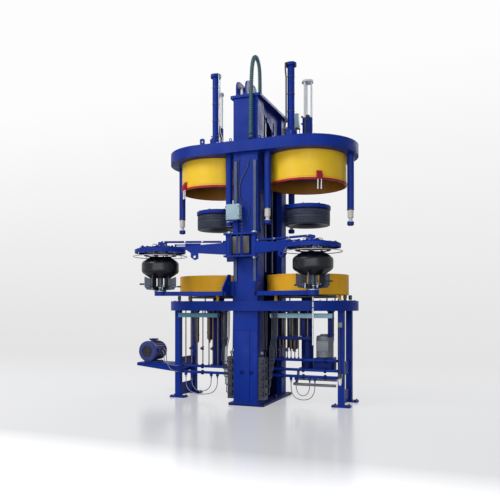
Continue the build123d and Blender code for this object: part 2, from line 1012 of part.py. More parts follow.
def side_plane(plane, shift):
    """Upright plane along the arm, a distance off its middle: across is X, up is Z."""
    origin = plane.origin - plane.y_dir * shift
    return Plane(origin=origin, x_dir=plane.x_dir, z_dir=plane.y_dir * -1)


def make_loader_arm(name, side):
    """Swing arm: hub, tapering web with a hooked lug, and the gripper's small cylinder."""
    plane = arm_plane(side, -1, (pivot_x, pivot_y), stand_angle)
    seat_high = chuck_low + chuck_thick + seat
    rim = arm_length - chuck_r
    top = seat_high + arm_tip_high
    with BuildPart() as arm:
        local_disc(plane, 0, 0, hub_r, hub_low, hub_high)
        with BuildSketch(side_plane(plane, 0)) as web:
            with BuildLine():
                Polyline(
                    (0, hub_low),
                    (arm_lug_at - arm_lug_width / 2, hub_low + arm_lug_width / 4),
                    (arm_lug_at - arm_lug_width / 2, hub_low - arm_lug_drop / 2),
                    (arm_lug_at, hub_low + arm_lug_width / 4 - arm_lug_drop),
                    (arm_lug_at + arm_lug_width / 2, hub_low - arm_lug_drop / 3),
                    (arm_lug_at + arm_lug_width / 2, hub_low + arm_lug_width / 4),
                    (rim - opening_clear, seat_high),
                    (arm_length, seat_high),
                    (arm_length, top),
                    (rim, top),
                    (rim / 2, hub_high - hub_r / 2),
                    (0, hub_high),
                    close=True,
                )
            make_face()
            with Locations((arm_lug_at, hub_low - arm_lug_drop / 4)):
                Circle(arm_lug_hole_d / 2, mode=Mode.SUBTRACT)
        extrude(web.sketch, amount=arm_width / 2, both=True)
        local_disc(plane, 0, 0, pin_r + seat, hub_low, hub_high, Mode.SUBTRACT)
        local_disc(plane, arm_length, 0, chuck_hub_r + seat, hub_low, hub_high, Mode.SUBTRACT)
        start = rim - gripper_cyl_length
        level = top + gripper_cyl_r
        with BuildSketch(Plane(plane.from_local_coords(Vector(start, 0, level)), z_dir=plane.x_dir)) as tube:
            Circle(gripper_cyl_r)
        extrude(tube.sketch, amount=gripper_cyl_length)
        with BuildSketch(Plane(plane.from_local_coords(Vector(rim, 0, level)), z_dir=plane.x_dir)) as rod:
            Circle(gripper_rod_r)
        extrude(rod.sketch, amount=gripper_rod_length)
        with BuildSketch(side_plane(plane, 0)) as foot:
            with Locations((rim + gripper_rod_length, (top + level) / 2)):
                Rectangle(gripper_cyl_r, gripper_cyl_r * 2)
        extrude(foot.sketch, amount=gripper_cyl_r / 2, both=True)
    note(arm.part, name)


def finger_angles():
    """Directions of a chuck's fingers, seen from the arm's own direction."""
    return [180 / finger_count + step * 360 / finger_count for step in range(finger_count)]


def make_chuck(name, plane, reach, radius, low, slot_in, hub_high, pads=False):
    """Gripping head: slotted and ribbed disc with a skirt and a hub, and fixed pads if asked."""
    middle = (slot_in + chuck_slot_out) / 2
    half = finger_width / 2 + finger_side
    window_out = radius - 2 * chuck_skirt_wall
    with BuildPart() as chuck:
        with BuildSketch(plane.offset(low)) as disc:
            with Locations((reach, 0)):
                Circle(radius)
            for angle in finger_angles():
                turn = radians(angle)
                with Locations(Location((reach + middle * cos(turn), middle * sin(turn)), angle)):
                    Rectangle(chuck_slot_out - slot_in, 2 * half, mode=Mode.SUBTRACT)
                for lean in (-chuck_window_angle, chuck_window_angle):
                    turn = radians(angle + lean)
                    at = (chuck_window_in + window_out) / 2
                    with Locations(Location((reach + at * cos(turn), at * sin(turn)), angle + lean)):
                        SlotOverall(window_out - chuck_window_in, 3 * half, mode=Mode.SUBTRACT)
        extrude(disc.sketch, amount=chuck_thick)
        local_disc(plane, reach, 0, radius, low - chuck_skirt, low, bore=radius - chuck_skirt_wall)
        local_disc(plane, reach, 0, chuck_hub_r, low + chuck_thick, hub_high)
        if pads:
            outer = cured_bore_r - seat
            for angle in finger_angles():
                sector(plane, reach, unload_finger_in, outer, angle, paddle_angle,
                       low - unload_finger_drop, low + chuck_thick / 2)
        deck = low + chuck_thick
        for angle in chuck_rib_angles:
            turn = radians(angle)
            direction = plane.x_dir * cos(turn) + plane.y_dir * sin(turn)
            centre = plane.from_local_coords(Vector(reach, 0, 0))
            ribbed = Plane(origin=centre, x_dir=direction, z_dir=(0, 0, 1))
            with BuildSketch(side_plane(ribbed, 0)) as rib:
                with BuildLine():
                    Polyline(
                        (chuck_hub_r / 2, deck - seat),
                        (radius - chuck_skirt_wall, deck - seat),
                        (radius - chuck_skirt_wall, deck + chuck_rib_end),
                        (chuck_hub_r / 2, deck + chuck_rib_high),
                        close=True,
                    )
                make_face()
            extrude(rib.sketch, amount=chuck_rib_thick / 2, both=True)
    note(chuck.part, name)


def sector(plane, reach, inner, outer, angle, spread, low, high):
    """Curved block between two radii, round the chuck's centre."""
    with BuildSketch(plane.offset(low)) as shape:
        turn = radians(angle)
        wide = radians(spread / 2)
        ends = [turn - wide, turn + wide]
        with BuildLine():
            corners = [(reach + r * cos(a), r * sin(a)) for r in (inner, outer) for a in ends]
            middles = [(reach + r * cos(turn), r * sin(turn)) for r in (inner, outer)]
            Line(corners[0], corners[2])
            ThreePointArc(corners[2], middles[1], corners[3])
            Line(corners[3], corners[1])
            ThreePointArc(corners[1], middles[0], corners[0])
        make_face()
    extrude(shape.sketch, amount=high - low)


def make_finger(name, plane, reach, angle, low, inner, outer, drop):
    """Sliding finger: head on the disc, stem through its slot and a curved pad below."""
    top = low + chuck_thick + seat
    turn = radians(angle)
    with BuildPart() as finger:
        middle = (inner + outer) / 2
        place = Location((reach + middle * cos(turn), middle * sin(turn)), angle)
        with BuildSketch(plane.offset(low - drop / 3)) as stem:
            with Locations(place):
                Rectangle((outer - inner) * 0.8, finger_width)
        extrude(stem.sketch, amount=top - low + drop / 3)
        with BuildSketch(plane.offset(top)) as head:
            with Locations(place):
                Rectangle(outer - inner, finger_head_width)
        extrude(head.sketch, amount=finger_head)
        shelf = low - chuck_skirt / 2
        sector(plane, reach, inner, outer, angle, paddle_angle, low - drop / 3 - finger_head / 2, shelf)
        sector(plane, reach, outer - finger_head, outer, angle, paddle_angle, low - drop, shelf)
    note(finger.part, name)


def make_unloader_arm(name, side):
    """Swing arm of an unloader, deep at its hub and shallow over the disc."""
    plane = arm_plane(side, 1, (unload_pivot_x, unload_pivot_y), unload_rest)
    seat_high = unload_chuck_low + chuck_thick + seat
    rim = unload_length - unload_chuck_r
    with BuildPart() as arm:
        local_disc(plane, 0, 0, hub_r, unload_hub_low, unload_hub_high)
        with BuildSketch(side_plane(plane, 0)) as web:
            with BuildLine():
                Polyline(
                    (0, unload_hub_low),
                    (rim / 2, unload_hub_low),
                    (rim - opening_clear, seat_high),
                    (unload_length, seat_high),
                    (unload_length, unload_arm_top),
                    (rim / 2, unload_arm_top),
                    (0, unload_hub_high),
                    close=True,
                )
            make_face()
        extrude(web.sketch, amount=arm_width / 2, both=True)
        local_disc(plane, 0, 0, pin_r + seat, unload_hub_low, unload_hub_high, Mode.SUBTRACT)
        local_disc(plane, unload_length, 0, chuck_hub_r + seat, unload_hub_low, unload_hub_high,
                   Mode.SUBTRACT)
    note(arm.part, name)


def make_cured_tyre(name, side):
    """Hollow tyre with rounded flanks, a bead on each side and grooves round the tread."""
    x = side * cavity_x
    flank = cured_width / 2
    bead = flank * 0.62
    tread = flank * 0.78
    bulge_r = (cured_bore_r + cured_r) / 2
    skin = 2 * green_wall
    with BuildPart() as tyre:
        with BuildSketch(upright(x, 0)) as section:
            with BuildLine():
                low = cured_z - bead
                high = cured_z + bead
                Line((cured_bore_r, low), (cured_bore_r, cured_z - bead + skin))
                Line((cured_bore_r, cured_z - bead + skin), (cured_bore_r + skin, cured_z - bead + skin))
                ThreePointArc(
                    (cured_bore_r + skin, cured_z - bead + skin),
                    (cured_r - skin, cured_z),
                    (cured_bore_r + skin, cured_z + bead - skin),
                )
                Line((cured_bore_r + skin, cured_z + bead - skin), (cured_bore_r, cured_z + bead - skin))
                Line((cured_bore_r, cured_z + bead - skin), (cured_bore_r, high))
                ThreePointArc((cured_bore_r, high), (bulge_r, cured_z + flank), (cured_r - skin / 4, cured_z + tread))
                Line((cured_r - skin / 4, cured_z + tread), (cured_r, cured_z + tread - skin / 3))
                Line((cured_r, cured_z + tread - skin / 3), (cured_r, cured_z - tread + skin / 3))
                Line((cured_r, cured_z - tread + skin / 3), (cured_r - skin / 4, cured_z - tread))
                ThreePointArc((cured_r - skin / 4, cured_z - tread), (bulge_r, cured_z - flank), (cured_bore_r, low))
            make_face()
            with Locations((cured_r, cured_z)):
                with GridLocations(tread_groove_width, 2 * tread / (tread_rows + 1), 1, tread_rows):
                    Rectangle(2 * tread_groove_depth, tread_groove_width, mode=Mode.SUBTRACT)
        revolve(section.sketch, axis=Axis((x, 0, 0), (0, 0, 1)))
    note(tyre.part, name)


def make_green_tyre(name, side):
    """Uncured tyre: a thin barrel with rounded shoulders and open necks."""
    x, y = side * work_x, -work_y
    middle = (green_low + green_high) / 2
    half = green_barrel / 2
    inner_r = green_r - green_wall
    inner_half = half - green_wall * green_slope_share
    with BuildPart() as tyre:
        with BuildSketch(upright(x, y)) as outline:
            with BuildLine():
                Polyline(
                    (green_bore_r, green_low),
                    (green_neck_r, green_low),
                    (green_r, middle - half),
                    (green_r, middle + half),
                    (green_neck_r, green_high),
                    (green_bore_r, green_high),
                    (green_bore_r, green_high - green_wall),
                    (inner_r, middle + inner_half),
                    (inner_r, middle - inner_half),
                    (green_bore_r, green_low + green_wall),
                    close=True,
                )
            make_face()
            across = outline.vertices().sort_by(Axis.X)
            fillet(across[-2:], green_round)
            across = outline.vertices().filter_by(lambda v: abs(v.X - inner_r) < seat)
            fillet(across, green_round - green_wall)
        revolve(outline.sketch, axis=Axis((x, y, 0), (0, 0, 1)))
    note(tyre.part, name)


def make_stand_arms():
    """Bracket plates on the column and the beams that reach out under the stands."""
    run = hypot(work_x - bracket_x, work_y - bracket_reach + stand_arm_width)
    turn = degrees(atan2(work_y - bracket_reach + stand_arm_width, work_x - bracket_x))
    bar_end = box_width / 2 - box_wall
    with BuildPart() as arms:
        for _, side in sides:
            plane = arm_plane(side, -1, (bracket_x, bracket_reach - stand_arm_width), turn)
            x = side * bracket_x
            with BuildSketch(Plane.YZ.offset(x)) as gusset:
                with BuildLine():
                    Polyline(
                        (front_box_y, stand_arm_low),
                        (front_box_y, bracket_high),
                        (front_box_y - stand_arm_width, bracket_high),
                        (-bracket_reach, stand_arm_high + stand_arm_width / 2),
                        (-bracket_reach, stand_arm_low),
                        close=True,
                    )
                make_face()
                with Locations((front_box_y - stand_arm_width, (stand_arm_high + bracket_high) / 2)):
                    Circle(bracket_hole_d / 2, mode=Mode.SUBTRACT)
            extrude(gusset.sketch, amount=bracket_thick / 2, both=True)
            ys = (front_box_y, front_box_y - bracket_thick)
            block((side * bar_end, x), ys, (stand_arm_low, loader_rail_low - seat))
            with BuildSketch(plane.offset(stand_arm_low)) as beam:
                with Locations((run / 2, 0)):
                    Rectangle(run + 2 * bracket_thick, stand_arm_width)
                with Locations((run, 0)):
                    Circle(stand_hub_r * 1.4)
            extrude(beam.sketch, amount=stand_arm_high - stand_arm_low)
    note(arms.part, "stand_arms")


def make_tyre_stand(name, side):
    """Hub with radial paddles that carry the green tyre."""
    x, y = side * work_x, -work_y
    seat_top = green_low - seat
    slope = (green_r - green_neck_r) / ((green_high - green_low - green_barrel) / 2)
    edge_drop = paddle_thick
    with BuildPart() as stand:
        column(x, y, stand_hub_r, stand_arm_high, stand_hub_high)
        column(x, y, stand_hub_r * 0.7, stand_hub_high, seat_top)
        for step in range(paddles):
            turn = radians(step * 360 / paddles + 180 / paddles)
            plane = Plane(origin=(x, y, 0), x_dir=(cos(turn), sin(turn), 0), z_dir=(0, 0, 1))
            with BuildSketch(side_plane(plane, 0)) as paddle:
                with BuildLine():
                    Polyline(
                        (stand_hub_r / 2, stand_arm_high + edge_drop),
                        (paddle_seat_r, stand_arm_high + 2 * edge_drop),
                        (paddle_tip_r, stand_hub_high),
                        (paddle_tip_r, seat_top + (paddle_tip_r - green_neck_r) / slope - 2 * edge_drop),
                        (green_neck_r, seat_top - edge_drop / 2),
                        (green_neck_r, seat_top),
                        (green_bore_r - edge_drop, seat_top),
                        (green_bore_r - edge_drop, stand_hub_high),
                        (stand_hub_r / 2, stand_hub_high),
                        close=True,
                    )
                make_face()
            extrude(paddle.sketch, amount=paddle_thick / 2, both=True)
    note(stand.part, name)


def make_junction_box():
    """Box with a raised door, glands on one side, and its bracket on the carriage."""
    face = front_box_y - guide_thick - shoe_clear
    front = face - back_plate
    x = -box_size / 2 - carriage_post
    with BuildPart() as box:
        with BuildSketch(Plane.XZ.offset(-front)):
            with Locations((x, box_bottom + box_high / 2)):
                RectangleRounded(box_size, box_high, back_plate / 3)
        extrude(amount=box_depth)
        with BuildSketch(Plane.XZ.offset(-front + box_depth)):
            with Locations((x, box_bottom + box_high / 2)):
                RectangleRounded(box_size - back_plate / 2, box_high - back_plate / 2, back_plate / 4)
        extrude(amount=back_plate / 3)
        edge = x + box_size / 2
        for step in range(4):
            level = box_bottom + box_high * (step + 1) / 5
            with BuildSketch(Plane.YZ.offset(edge)):
                with Locations((front - box_depth / 2, level)):
                    RegularPolygon(box_gland_r, 6)
            extrude(amount=box_gland_r)
        block((x - carriage_post, x + carriage_post), (face, front), (carriage_high, box_bottom + box_high))
        ys = (front, front - box_depth)
        block((x - box_size / 3, x + box_size / 3), ys, (box_bottom - carriage_plate / 2, box_bottom))
    note(box.part, "loader_junction_box")


def make_troughs():
    """Open cable troughs along the front edge below the platform, on short hangers."""
    top = platform_low - trough_drop
    with BuildPart() as troughs:
        for near, far in trough_spans:
            side = copysign(1, far)
            ys = (-trough_y - trough_width / 2, -trough_y + trough_width / 2)
            block((near, far), ys, (top - trough_high, top))
            inner = (ys[0] + trough_wall, ys[1] - trough_wall)
            ends = (near - side * cut_over, far + side * cut_over)
            block(ends, inner, (top - trough_high + trough_wall, top), mode=Mode.SUBTRACT)
            for share in trough_hanger_shares:
                x = near + share * (far - near)
                block((x - trough_lip, x + trough_lip), ys, (top - trough_wall, top))
                middle = -trough_y
                block((x - trough_lip / 2, x + trough_lip / 2), (middle - trough_lip, middle + trough_lip),
                      (top - trough_wall, platform_high - platform_plate))
    note(troughs.part, "cable_troughs")


def make_motor():
    """Finned motor with its fan cover in front, a pump behind and a port block at its side."""
    front, rear = -motor_length / 2, motor_length / 2
    with BuildPart() as motor:
        with BuildSketch(Plane.XZ.offset(-front)) as frame:
            with Locations((-motor_x, motor_z)):
                Circle(motor_r - fin_height)
                for step in range(motor_fins):
                    turn = step * 360 / motor_fins
                    away = motor_r - fin_height
                    spot = (away * cos(radians(turn)), away * sin(radians(turn)))
                    with Locations(Location(spot, turn)):
                        Rectangle(2 * fin_height, fin_thick)
        extrude(frame.sketch, amount=-motor_length)
        with BuildSketch(Plane.XZ.offset(cover_length - front)) as cover:
            with Locations((-motor_x, motor_z)):
                Circle(cover_r)
        extrude(cover.sketch, amount=-cover_length)
        chamfer(motor.faces().sort_by(Axis.Y)[0].edges(), fin_height)
        with BuildSketch(Plane.XZ.offset(cover_length - front)) as eye:
            with Locations((-motor_x, motor_z)):
                Circle(cover_eye_r)
        extrude(eye.sketch, amount=-cover_recess, mode=Mode.SUBTRACT)
        for size, length in ((motor_r, fin_height), (pump_r, pump_length)):
            with BuildSketch(Plane.XZ.offset(-rear)) as end:
                with Locations((-motor_x, motor_z)):
                    Circle(size)
            extrude(end.sketch, amount=-length)
        half = motor_foot_width / 2
        block((-motor_x - half, -motor_x + half), (front + fin_height, rear - fin_height),
              (shelf_high, shelf_high + motor_foot_high))
        block((-motor_x - half / 2, -motor_x + half / 2), (-motor_foot_high, motor_foot_high),
              (shelf_high, motor_z - motor_r / 2))
        block((-motor_x - half / 4, -motor_x + half / 4), (-fin_height * 3, fin_height * 3),
              (motor_z + motor_r / 2, motor_z + motor_r + motor_foot_high))
        block((-motor_x + motor_r / 2, -port_face_x), (port_front_y, port_rear_y), (port_low, port_high))
    note(motor.part, "pump_motor")


def make_shelf():
    """Cantilevered shelf for the motor, braced off the posts of the left leg frame."""
    inner = -leg_x - leg_size / 2
    under = shelf_high - shelf_thick
    with BuildPart() as shelf:
        block((-shelf_out, inner), (-shelf_half, shelf_half), (under, shelf_high))
        block((-shelf_out, -shelf_out + shelf_brace), (-shelf_half, shelf_half), (under - shelf_rim, under))
        block((inner - shelf_brace, inner), (-leg_y, leg_y), (shelf_brace_low, shelf_high))
        for side in (-1, 1):
            middle = side * (shelf_half - shelf_brace)
            with BuildSketch(Plane.XZ.offset(-middle)) as brace:
                with BuildLine():
                    Polyline(
                        (inner, shelf_brace_low),
                        (inner, under),
                        (-shelf_out, under),
                        (-shelf_out, under - shelf_rim),
                        close=True,
                    )
                make_face()
            extrude(brace.sketch, amount=shelf_brace / 2, both=True)
    note(shelf.part, "motor_shelf")


def make_headers():
    """Oil and steam headers from the column to the leg frames, with blocks for the hoses."""
    with BuildPart() as pipes:
        for word, side in sides:
            start = side * (web_offset + web_thick)
            stop = side * (leg_x - leg_size / 2)
            for level in header_zs[word]:
                with BuildSketch(Plane.YZ.offset(min(start, stop))) as header:
                    with Locations((-header_front_y, level)):
                        Circle(header_r)
                extrude(header.sketch, amount=abs(stop - start))
        half = header_clamp / 2
        for route in loop_routes:
            for x, y, level in (route[0], route[-1]):
                block((x - half, x + half), (y - half, y + half), (level, level + header_clamp_drop))
        for level in header_zs["left"]:
            block(inlet_xs, inlet_ys, (level - inlet_half, level + inlet_half))
    note(pipes.part, "header_pipes")


def make_manifolds():
    """Tall valve blocks on the sides of the column, with valves in front and ports outwards."""
    with BuildPart() as blocks:
        for _, side in sides:
            start = side * box_width / 2
            stop = start + side * manifold_wide
            middle = (start + stop) / 2
            front = manifold_front_y
            block((start, stop), (front, manifold_rear_y), (manifold_low, manifold_high))
            for step in range(valve_count):
                level = (manifold_low + manifold_high) / 2 + (step - (valve_count - 1) / 2) * valve_pitch
                half = valve_size / 2
                block((middle - half, middle + half), (front - valve_deep, front), (level - half, level + half))
                with BuildSketch(Plane.XZ.offset(-front + valve_deep)) as knob:
                    with Locations((middle, level)):
                        Circle(valve_knob_r)
                extrude(knob.sketch, amount=valve_knob)
                with BuildSketch(Plane.YZ.offset(stop)) as port:
                    with Locations(((front + manifold_rear_y) / 2, level)):
                        RegularPolygon(port_r, 6)
                extrude(port.sketch, amount=side * port_long)
    note(blocks.part, "valve_manifolds")


def corner_radii(points):
    """Arc radius at each corner: 0.45 of the shorter run over the tangent of half the turn."""
    radii = []
    whole = [Vector(*p) for p in points]
    for before, here, after in zip(whole, whole[1:], whole[2:]):
        turn = (here - before).get_angle(after - here)
        run = min((here - before).length, (after - here).length)
        radii.append(0.45 * run / tan(radians(turn) / 2))
    print("radii", [round(r) for r in radii])
    return radii


def tube(points, radius, bore=0):
    """Tube along straight runs joined by tangent arcs."""
    radii = corner_radii(points)
    with BuildLine() as path:
        FilletPolyline(*points, radius=radii)
    start = Plane(origin=points[0], z_dir=Vector(*points[1]) - Vector(*points[0]))
    with BuildSketch(start) as ring:
        Circle(radius)
        if bore:
            Circle(bore, mode=Mode.SUBTRACT)
    sweep(ring.sketch, path=path.line)


def make_conduit():
    """Hose over the top of the column, from the beam's height to the head."""
    with BuildPart() as hose:
        tube(conduit_points(), conduit_r, conduit_bore_r)
    note(hose.part, "head_conduit")


def make_hoses():
    """Hoses that hang in loops below the headers, and the two from the pump to the left ones."""
    with BuildPart() as hoses:
        for route in loop_routes + pump_routes:
            tube(route, hose_r)
    note(hoses.part, "hanging_hoses")


def conduit_points():
    """Route up in front of the column, over in a loop and down on to its head."""
    front, rear = -conduit_front_y, -conduit_rear_y
    x = conduit_x
    top = column_height + conduit_rise
    lift = (rear - front) / 2
    return [
        (x - 25, front, conduit_low),
        (x - 25, front, conduit_low + conduit_first),
        (x - 17, front + 6, top - conduit_lean),
        (x - 8, front + 20, top + lift * 0.6),
        (x + 2, (front + rear) / 2 - lift * 0.35, top + lift * 1.55),
        (x + 12, (front + rear) / 2 + lift * 0.45, top + lift * 1.5),
        (x + 18, rear - 6, top + lift * 0.55),
        (x + 20, rear, top - 150),
        (x + 20, rear, column_height + head_thick),
    ]


# Lengths and places worked out from the driving sizes
ring_r = dome_r + ring_over
slot_high = column_height - slot_below
beam_rail_high = column_height - beam_rail_below
rod_outer_x = cavity_x + ring_r - rod_outer_edge
rod_inner_y = ring_r - rod_inner_edge
arm_length = hypot(cavity_x - pivot_x, pivot_y)
work_x = pivot_x + arm_length * cos(radians(stand_angle))
work_y = pivot_y + arm_length * sin(radians(stand_angle))
unload_length = hypot(cavity_x - unload_pivot_x, unload_pivot_y)
unload_rest = degrees(atan2(-unload_pivot_y, cavity_x - unload_pivot_x))


def main():
    make_base_plate()
    make_column_box("column_front_box", front_box_y, front_box_y + front_box_depth)
    make_column_box("column_rear_box", rear_box_y, rear_box_y - rear_box_depth)
    make_webs()
    make_beam_rails()
    make_column_head()
    make_platform()
    make_lower_moulds()
    make_centre_barrels()
    make_upper_beam()
    make_dome_lips()
    make_upper_moulds()
    make_lift_cylinder()
    make_lift_rod()
    make_guide_rails("loader_rails", front_box_y, -1, loader_rail_low, loader_rail_high)
    make_guide_rails("unloader_rails", rear_box_y, 1, unloader_rail_low, unloader_rail_high)
    make_carriage("loader_carriage", front_box_y, -1, carriage_low, carriage_high, carriage_half,
                  carriage_reach, (pivot_x, pivot_y), (hub_low, hub_high))
    make_carriage("unloader_carriage", rear_box_y, 1, unload_carriage_low, unload_carriage_high,
                  unload_half, unload_reach, (unload_pivot_x, unload_pivot_y),
                  (unload_hub_low, unload_hub_high))
    make_junction_box()
    make_troughs()
    make_motor()
    make_shelf()
    make_headers()
    make_manifolds()
    make_conduit()
    make_hoses()
    make_leg_frames()
    make_bladders()
    make_locking_rods()
    make_crown_cylinders()
    make_mould_cylinders()
    make_stand_arms()
    for word, side in sides:
        make_lower_dome(f"lower_dome_{word}", side)
        make_centre_post(f"centre_post_{word}", side)
        make_upper_dome(f"upper_dome_{word}", side)
        make_loader_arm(f"loader_arm_{word}", side)
        make_unloader_arm(f"unloader_arm_{word}", side)
        make_cured_tyre(f"cured_tyre_{word}", side)
        make_green_tyre(f"green_tyre_{word}", side)
        make_tyre_stand(f"tyre_stand_{word}", side)
        plane = arm_plane(side, -1, (pivot_x, pivot_y), stand_angle)
        make_chuck(f"loader_chuck_{word}", plane, arm_length, chuck_r, chuck_low, finger_in - finger_side,
                   chuck_low + chuck_thick + chuck_hub_high)
        for number, angle in enumerate(finger_angles(), 1):
            make_finger(f"loader_finger_{word}_{number}", plane, arm_length, angle, chuck_low,
                        finger_in, finger_out, finger_drop)
        plane = arm_plane(side, 1, (unload_pivot_x, unload_pivot_y), unload_rest)
        make_chuck(f"unloader_chuck_{word}", plane, unload_length, unload_chuck_r, unload_chuck_low,
                   cured_bore_r + chuck_slot_step, unload_arm_top, pads=True)


main()
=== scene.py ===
"""Looks of the twin-cavity column press: finishes, fittings, hoses, light and camera."""
from math import atan2, ceil, cos, hypot, pi, radians, sin

import bmesh
import bpy
from mathutils import Matrix, Vector


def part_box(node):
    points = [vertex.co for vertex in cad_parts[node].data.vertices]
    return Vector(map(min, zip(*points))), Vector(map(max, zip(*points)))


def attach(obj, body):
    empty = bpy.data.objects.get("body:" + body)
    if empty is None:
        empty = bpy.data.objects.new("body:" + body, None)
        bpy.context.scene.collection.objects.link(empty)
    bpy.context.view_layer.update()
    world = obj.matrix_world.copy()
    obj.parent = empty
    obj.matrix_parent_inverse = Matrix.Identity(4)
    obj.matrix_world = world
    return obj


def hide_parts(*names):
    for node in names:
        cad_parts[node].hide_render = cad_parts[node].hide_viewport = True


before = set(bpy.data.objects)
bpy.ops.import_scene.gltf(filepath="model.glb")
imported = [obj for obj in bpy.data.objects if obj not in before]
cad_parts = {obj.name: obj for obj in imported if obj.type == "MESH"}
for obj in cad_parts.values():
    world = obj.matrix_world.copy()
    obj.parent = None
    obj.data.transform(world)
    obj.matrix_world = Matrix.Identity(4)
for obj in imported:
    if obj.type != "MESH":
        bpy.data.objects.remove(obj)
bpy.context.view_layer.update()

X, Y, Z = Vector((1, 0, 0)), Vector((0, 1, 0)), Vector((0, 0, 1))
SIDES = (("left", -1), ("right", 1))
CAVITY_X = 0.768


# Colours and materials

def linear(red, green, blue):
    """A colour written as 0-255 screen values, as the linear values that shaders take."""
    def one(value):
        value /= 255
        return value / 12.92 if value <= 0.04045 else ((value + 0.055) / 1.055) ** 2.4
    return (one(red), one(green), one(blue), 1)


class Nodes:
    """A node tree under construction, with short ways to add and join nodes."""

    def __init__(self, tree):
        self.tree = tree

    def put(self, socket, value):
        """A plain value set on a socket, or an output joined to it."""
        if isinstance(value, bpy.types.NodeSocket):
            self.tree.links.new(value, socket)
        else:
            socket.default_value = value

    def node(self, kind, sockets=(), **settings):
        """A new node with its settings, and each named socket given a value or an output."""
        made = self.tree.nodes.new("ShaderNode" + kind)
        for key, value in settings.items():
            setattr(made, key, value)
        for key, value in dict(sockets).items():
            self.put(made.inputs[key], value)
        return made

    def sum(self, kind, first, second=0.0):
        return self.node("Math", {0: first, 1: second}, operation=kind).outputs[0]

    def level(self, factor, low, high, start=0.3, stop=0.7):
        """A factor spread over a range of values, as one number."""
        return self.node("MapRange", {"Value": factor, "From Min": start, "From Max": stop, "To Min": low,
            "To Max": high}).outputs["Result"]

    def ramp(self, factor, stops):
        made = self.node("ValToRGB", {"Fac": factor})
        elements = made.color_ramp.elements
        while len(elements) < len(stops):
            elements.new(0.5)
        for element, (position, colour) in zip(elements, stops):
            element.position = position
            element.color = colour
        return made.outputs["Color"]


class Shader(Nodes):
    """A node material under construction."""

    def __init__(self, name):
        self.material = bpy.data.materials.new(name)
        self.material.use_nodes = True
        super().__init__(self.material.node_tree)
        self.surface = self.tree.nodes["Principled BSDF"]
        self.place = self.node("TexCoord").outputs["Object"]

    def stretched(self, scale):
        """Object coordinates, scaled differently along each axis."""
        return self.node("Mapping", {"Vector": self.place, "Scale": scale}).outputs["Vector"]

    def noise(self, scale, detail=3, roughness=0.55, place=None):
        return self.node("TexNoise", {"Vector": place or self.place, "Scale": scale, "Detail": detail,
            "Roughness": roughness}).outputs["Fac"]

    def tone(self, factor, colour, dark, light, start=0.3, stop=0.7):
        """A colour that goes from a darker to a lighter share of itself."""
        return self.ramp(factor, [(start, scaled(colour, dark)), (stop, scaled(colour, light))])

    def blend(self, factor, first, second):
        sockets = {"Factor": factor, "A": first, "B": second}
        return self.node("Mix", sockets, data_type="RGBA").outputs["Result"]

    def bump(self, height, strength, distance):
        made = self.node("Bump", {"Height": height, "Strength": strength, "Distance": distance})
        self.put(self.surface.inputs["Normal"], made.outputs["Normal"])

    def axis(self, name):
        return self.node("SeparateXYZ", {"Vector": self.place}).outputs[name]

    def finish(self, colour, rough, metal=0.0, coat=0.0, specular=0.5):
        for key, value in (("Base Color", colour), ("Roughness", rough), ("Metallic", metal),
                ("Coat Weight", coat), ("Coat Roughness", COAT_ROUGHNESS),
                ("Specular IOR Level", specular)):
            self.put(self.surface.inputs[key], value)
        return self.material


COAT_ROUGHNESS = 0.12


def scaled(colour, share):
    return tuple(min(1.0, part * share) for part in colour[:3]) + (1,)


def paint(name, colour, rough=0.42, coat=0.0, dirt=0.35, other=None, mask=None, specular=0.1):
    """Sprayed machine paint: slight orange peel, cloudy tone, faint run-down grime and dust."""
    shade = Shader(name)
    cloud = shade.noise(1.7, 4)
    tone = shade.tone(cloud, colour, 0.86, 1.1)
    if other:
        tone = shade.blend(mask(shade), tone, shade.tone(cloud, other, 0.8, 1.1))
    streaks = shade.noise(1.0, 5, 0.6, shade.stretched((9, 9, 0.9)))
    tone = shade.blend(shade.level(streaks, 0.0, dirt, 0.52, 0.78), tone, scaled(colour, 0.45))
    dust = shade.level(shade.noise(46, 6, 0.7), 0.0, 0.1, 0.6, 0.82)
    tone = shade.blend(dust, tone, scaled(linear(190, 190, 185), 0.8))
    shade.bump(shade.noise(420, 2), 0.05, 0.0006)
    gloss = shade.level(shade.noise(5.5, 3), rough - 0.07, rough + 0.12)
    return shade.finish(tone, gloss, coat=coat, specular=specular)


def metal(name, colour, rough=0.3, brush=(1, 1, 60), scratches=0.35, specular=0.5):
    """Machined or drawn metal: brush lines, mottled tone and fine scratches."""
    shade = Shader(name)
    lines = shade.noise(14, 3, 0.5, shade.stretched(brush))
    tone = shade.tone(shade.noise(6, 5, 0.65), colour, 0.78, 1.08, 0.25, 0.75)
    tone = shade.blend(shade.level(lines, 0.0, scratches, 0.45, 0.7), tone, scaled(colour, 0.7))
    shade.bump(lines, 0.12, 0.0005)
    return shade.finish(tone, shade.level(lines, rough - 0.08, rough + 0.12), 1.0, specular=specular)


def rubber(name, colour, rough=0.55, shine=0.0, grain=160, dust=0.25, specular=0.5):
    """Rubber with a fine grain, a bloom of dust and uneven gloss."""
    shade = Shader(name)
    cloud = shade.noise(4, 5, 0.6)
    bloom = shade.level(shade.noise(22, 6, 0.7), 0.0, dust, 0.55, 0.8)
    tone = shade.tone(cloud, colour, 0.7, 1.25, 0.3, 0.75)
    tone = shade.blend(bloom, tone, scaled(linear(150, 150, 148), 0.6))
    shade.bump(shade.noise(grain, 4), 0.16, 0.001)
    gloss = shade.level(cloud, rough - 0.1, rough + 0.12)
    return shade.finish(tone, gloss, coat=shine, specular=specular)


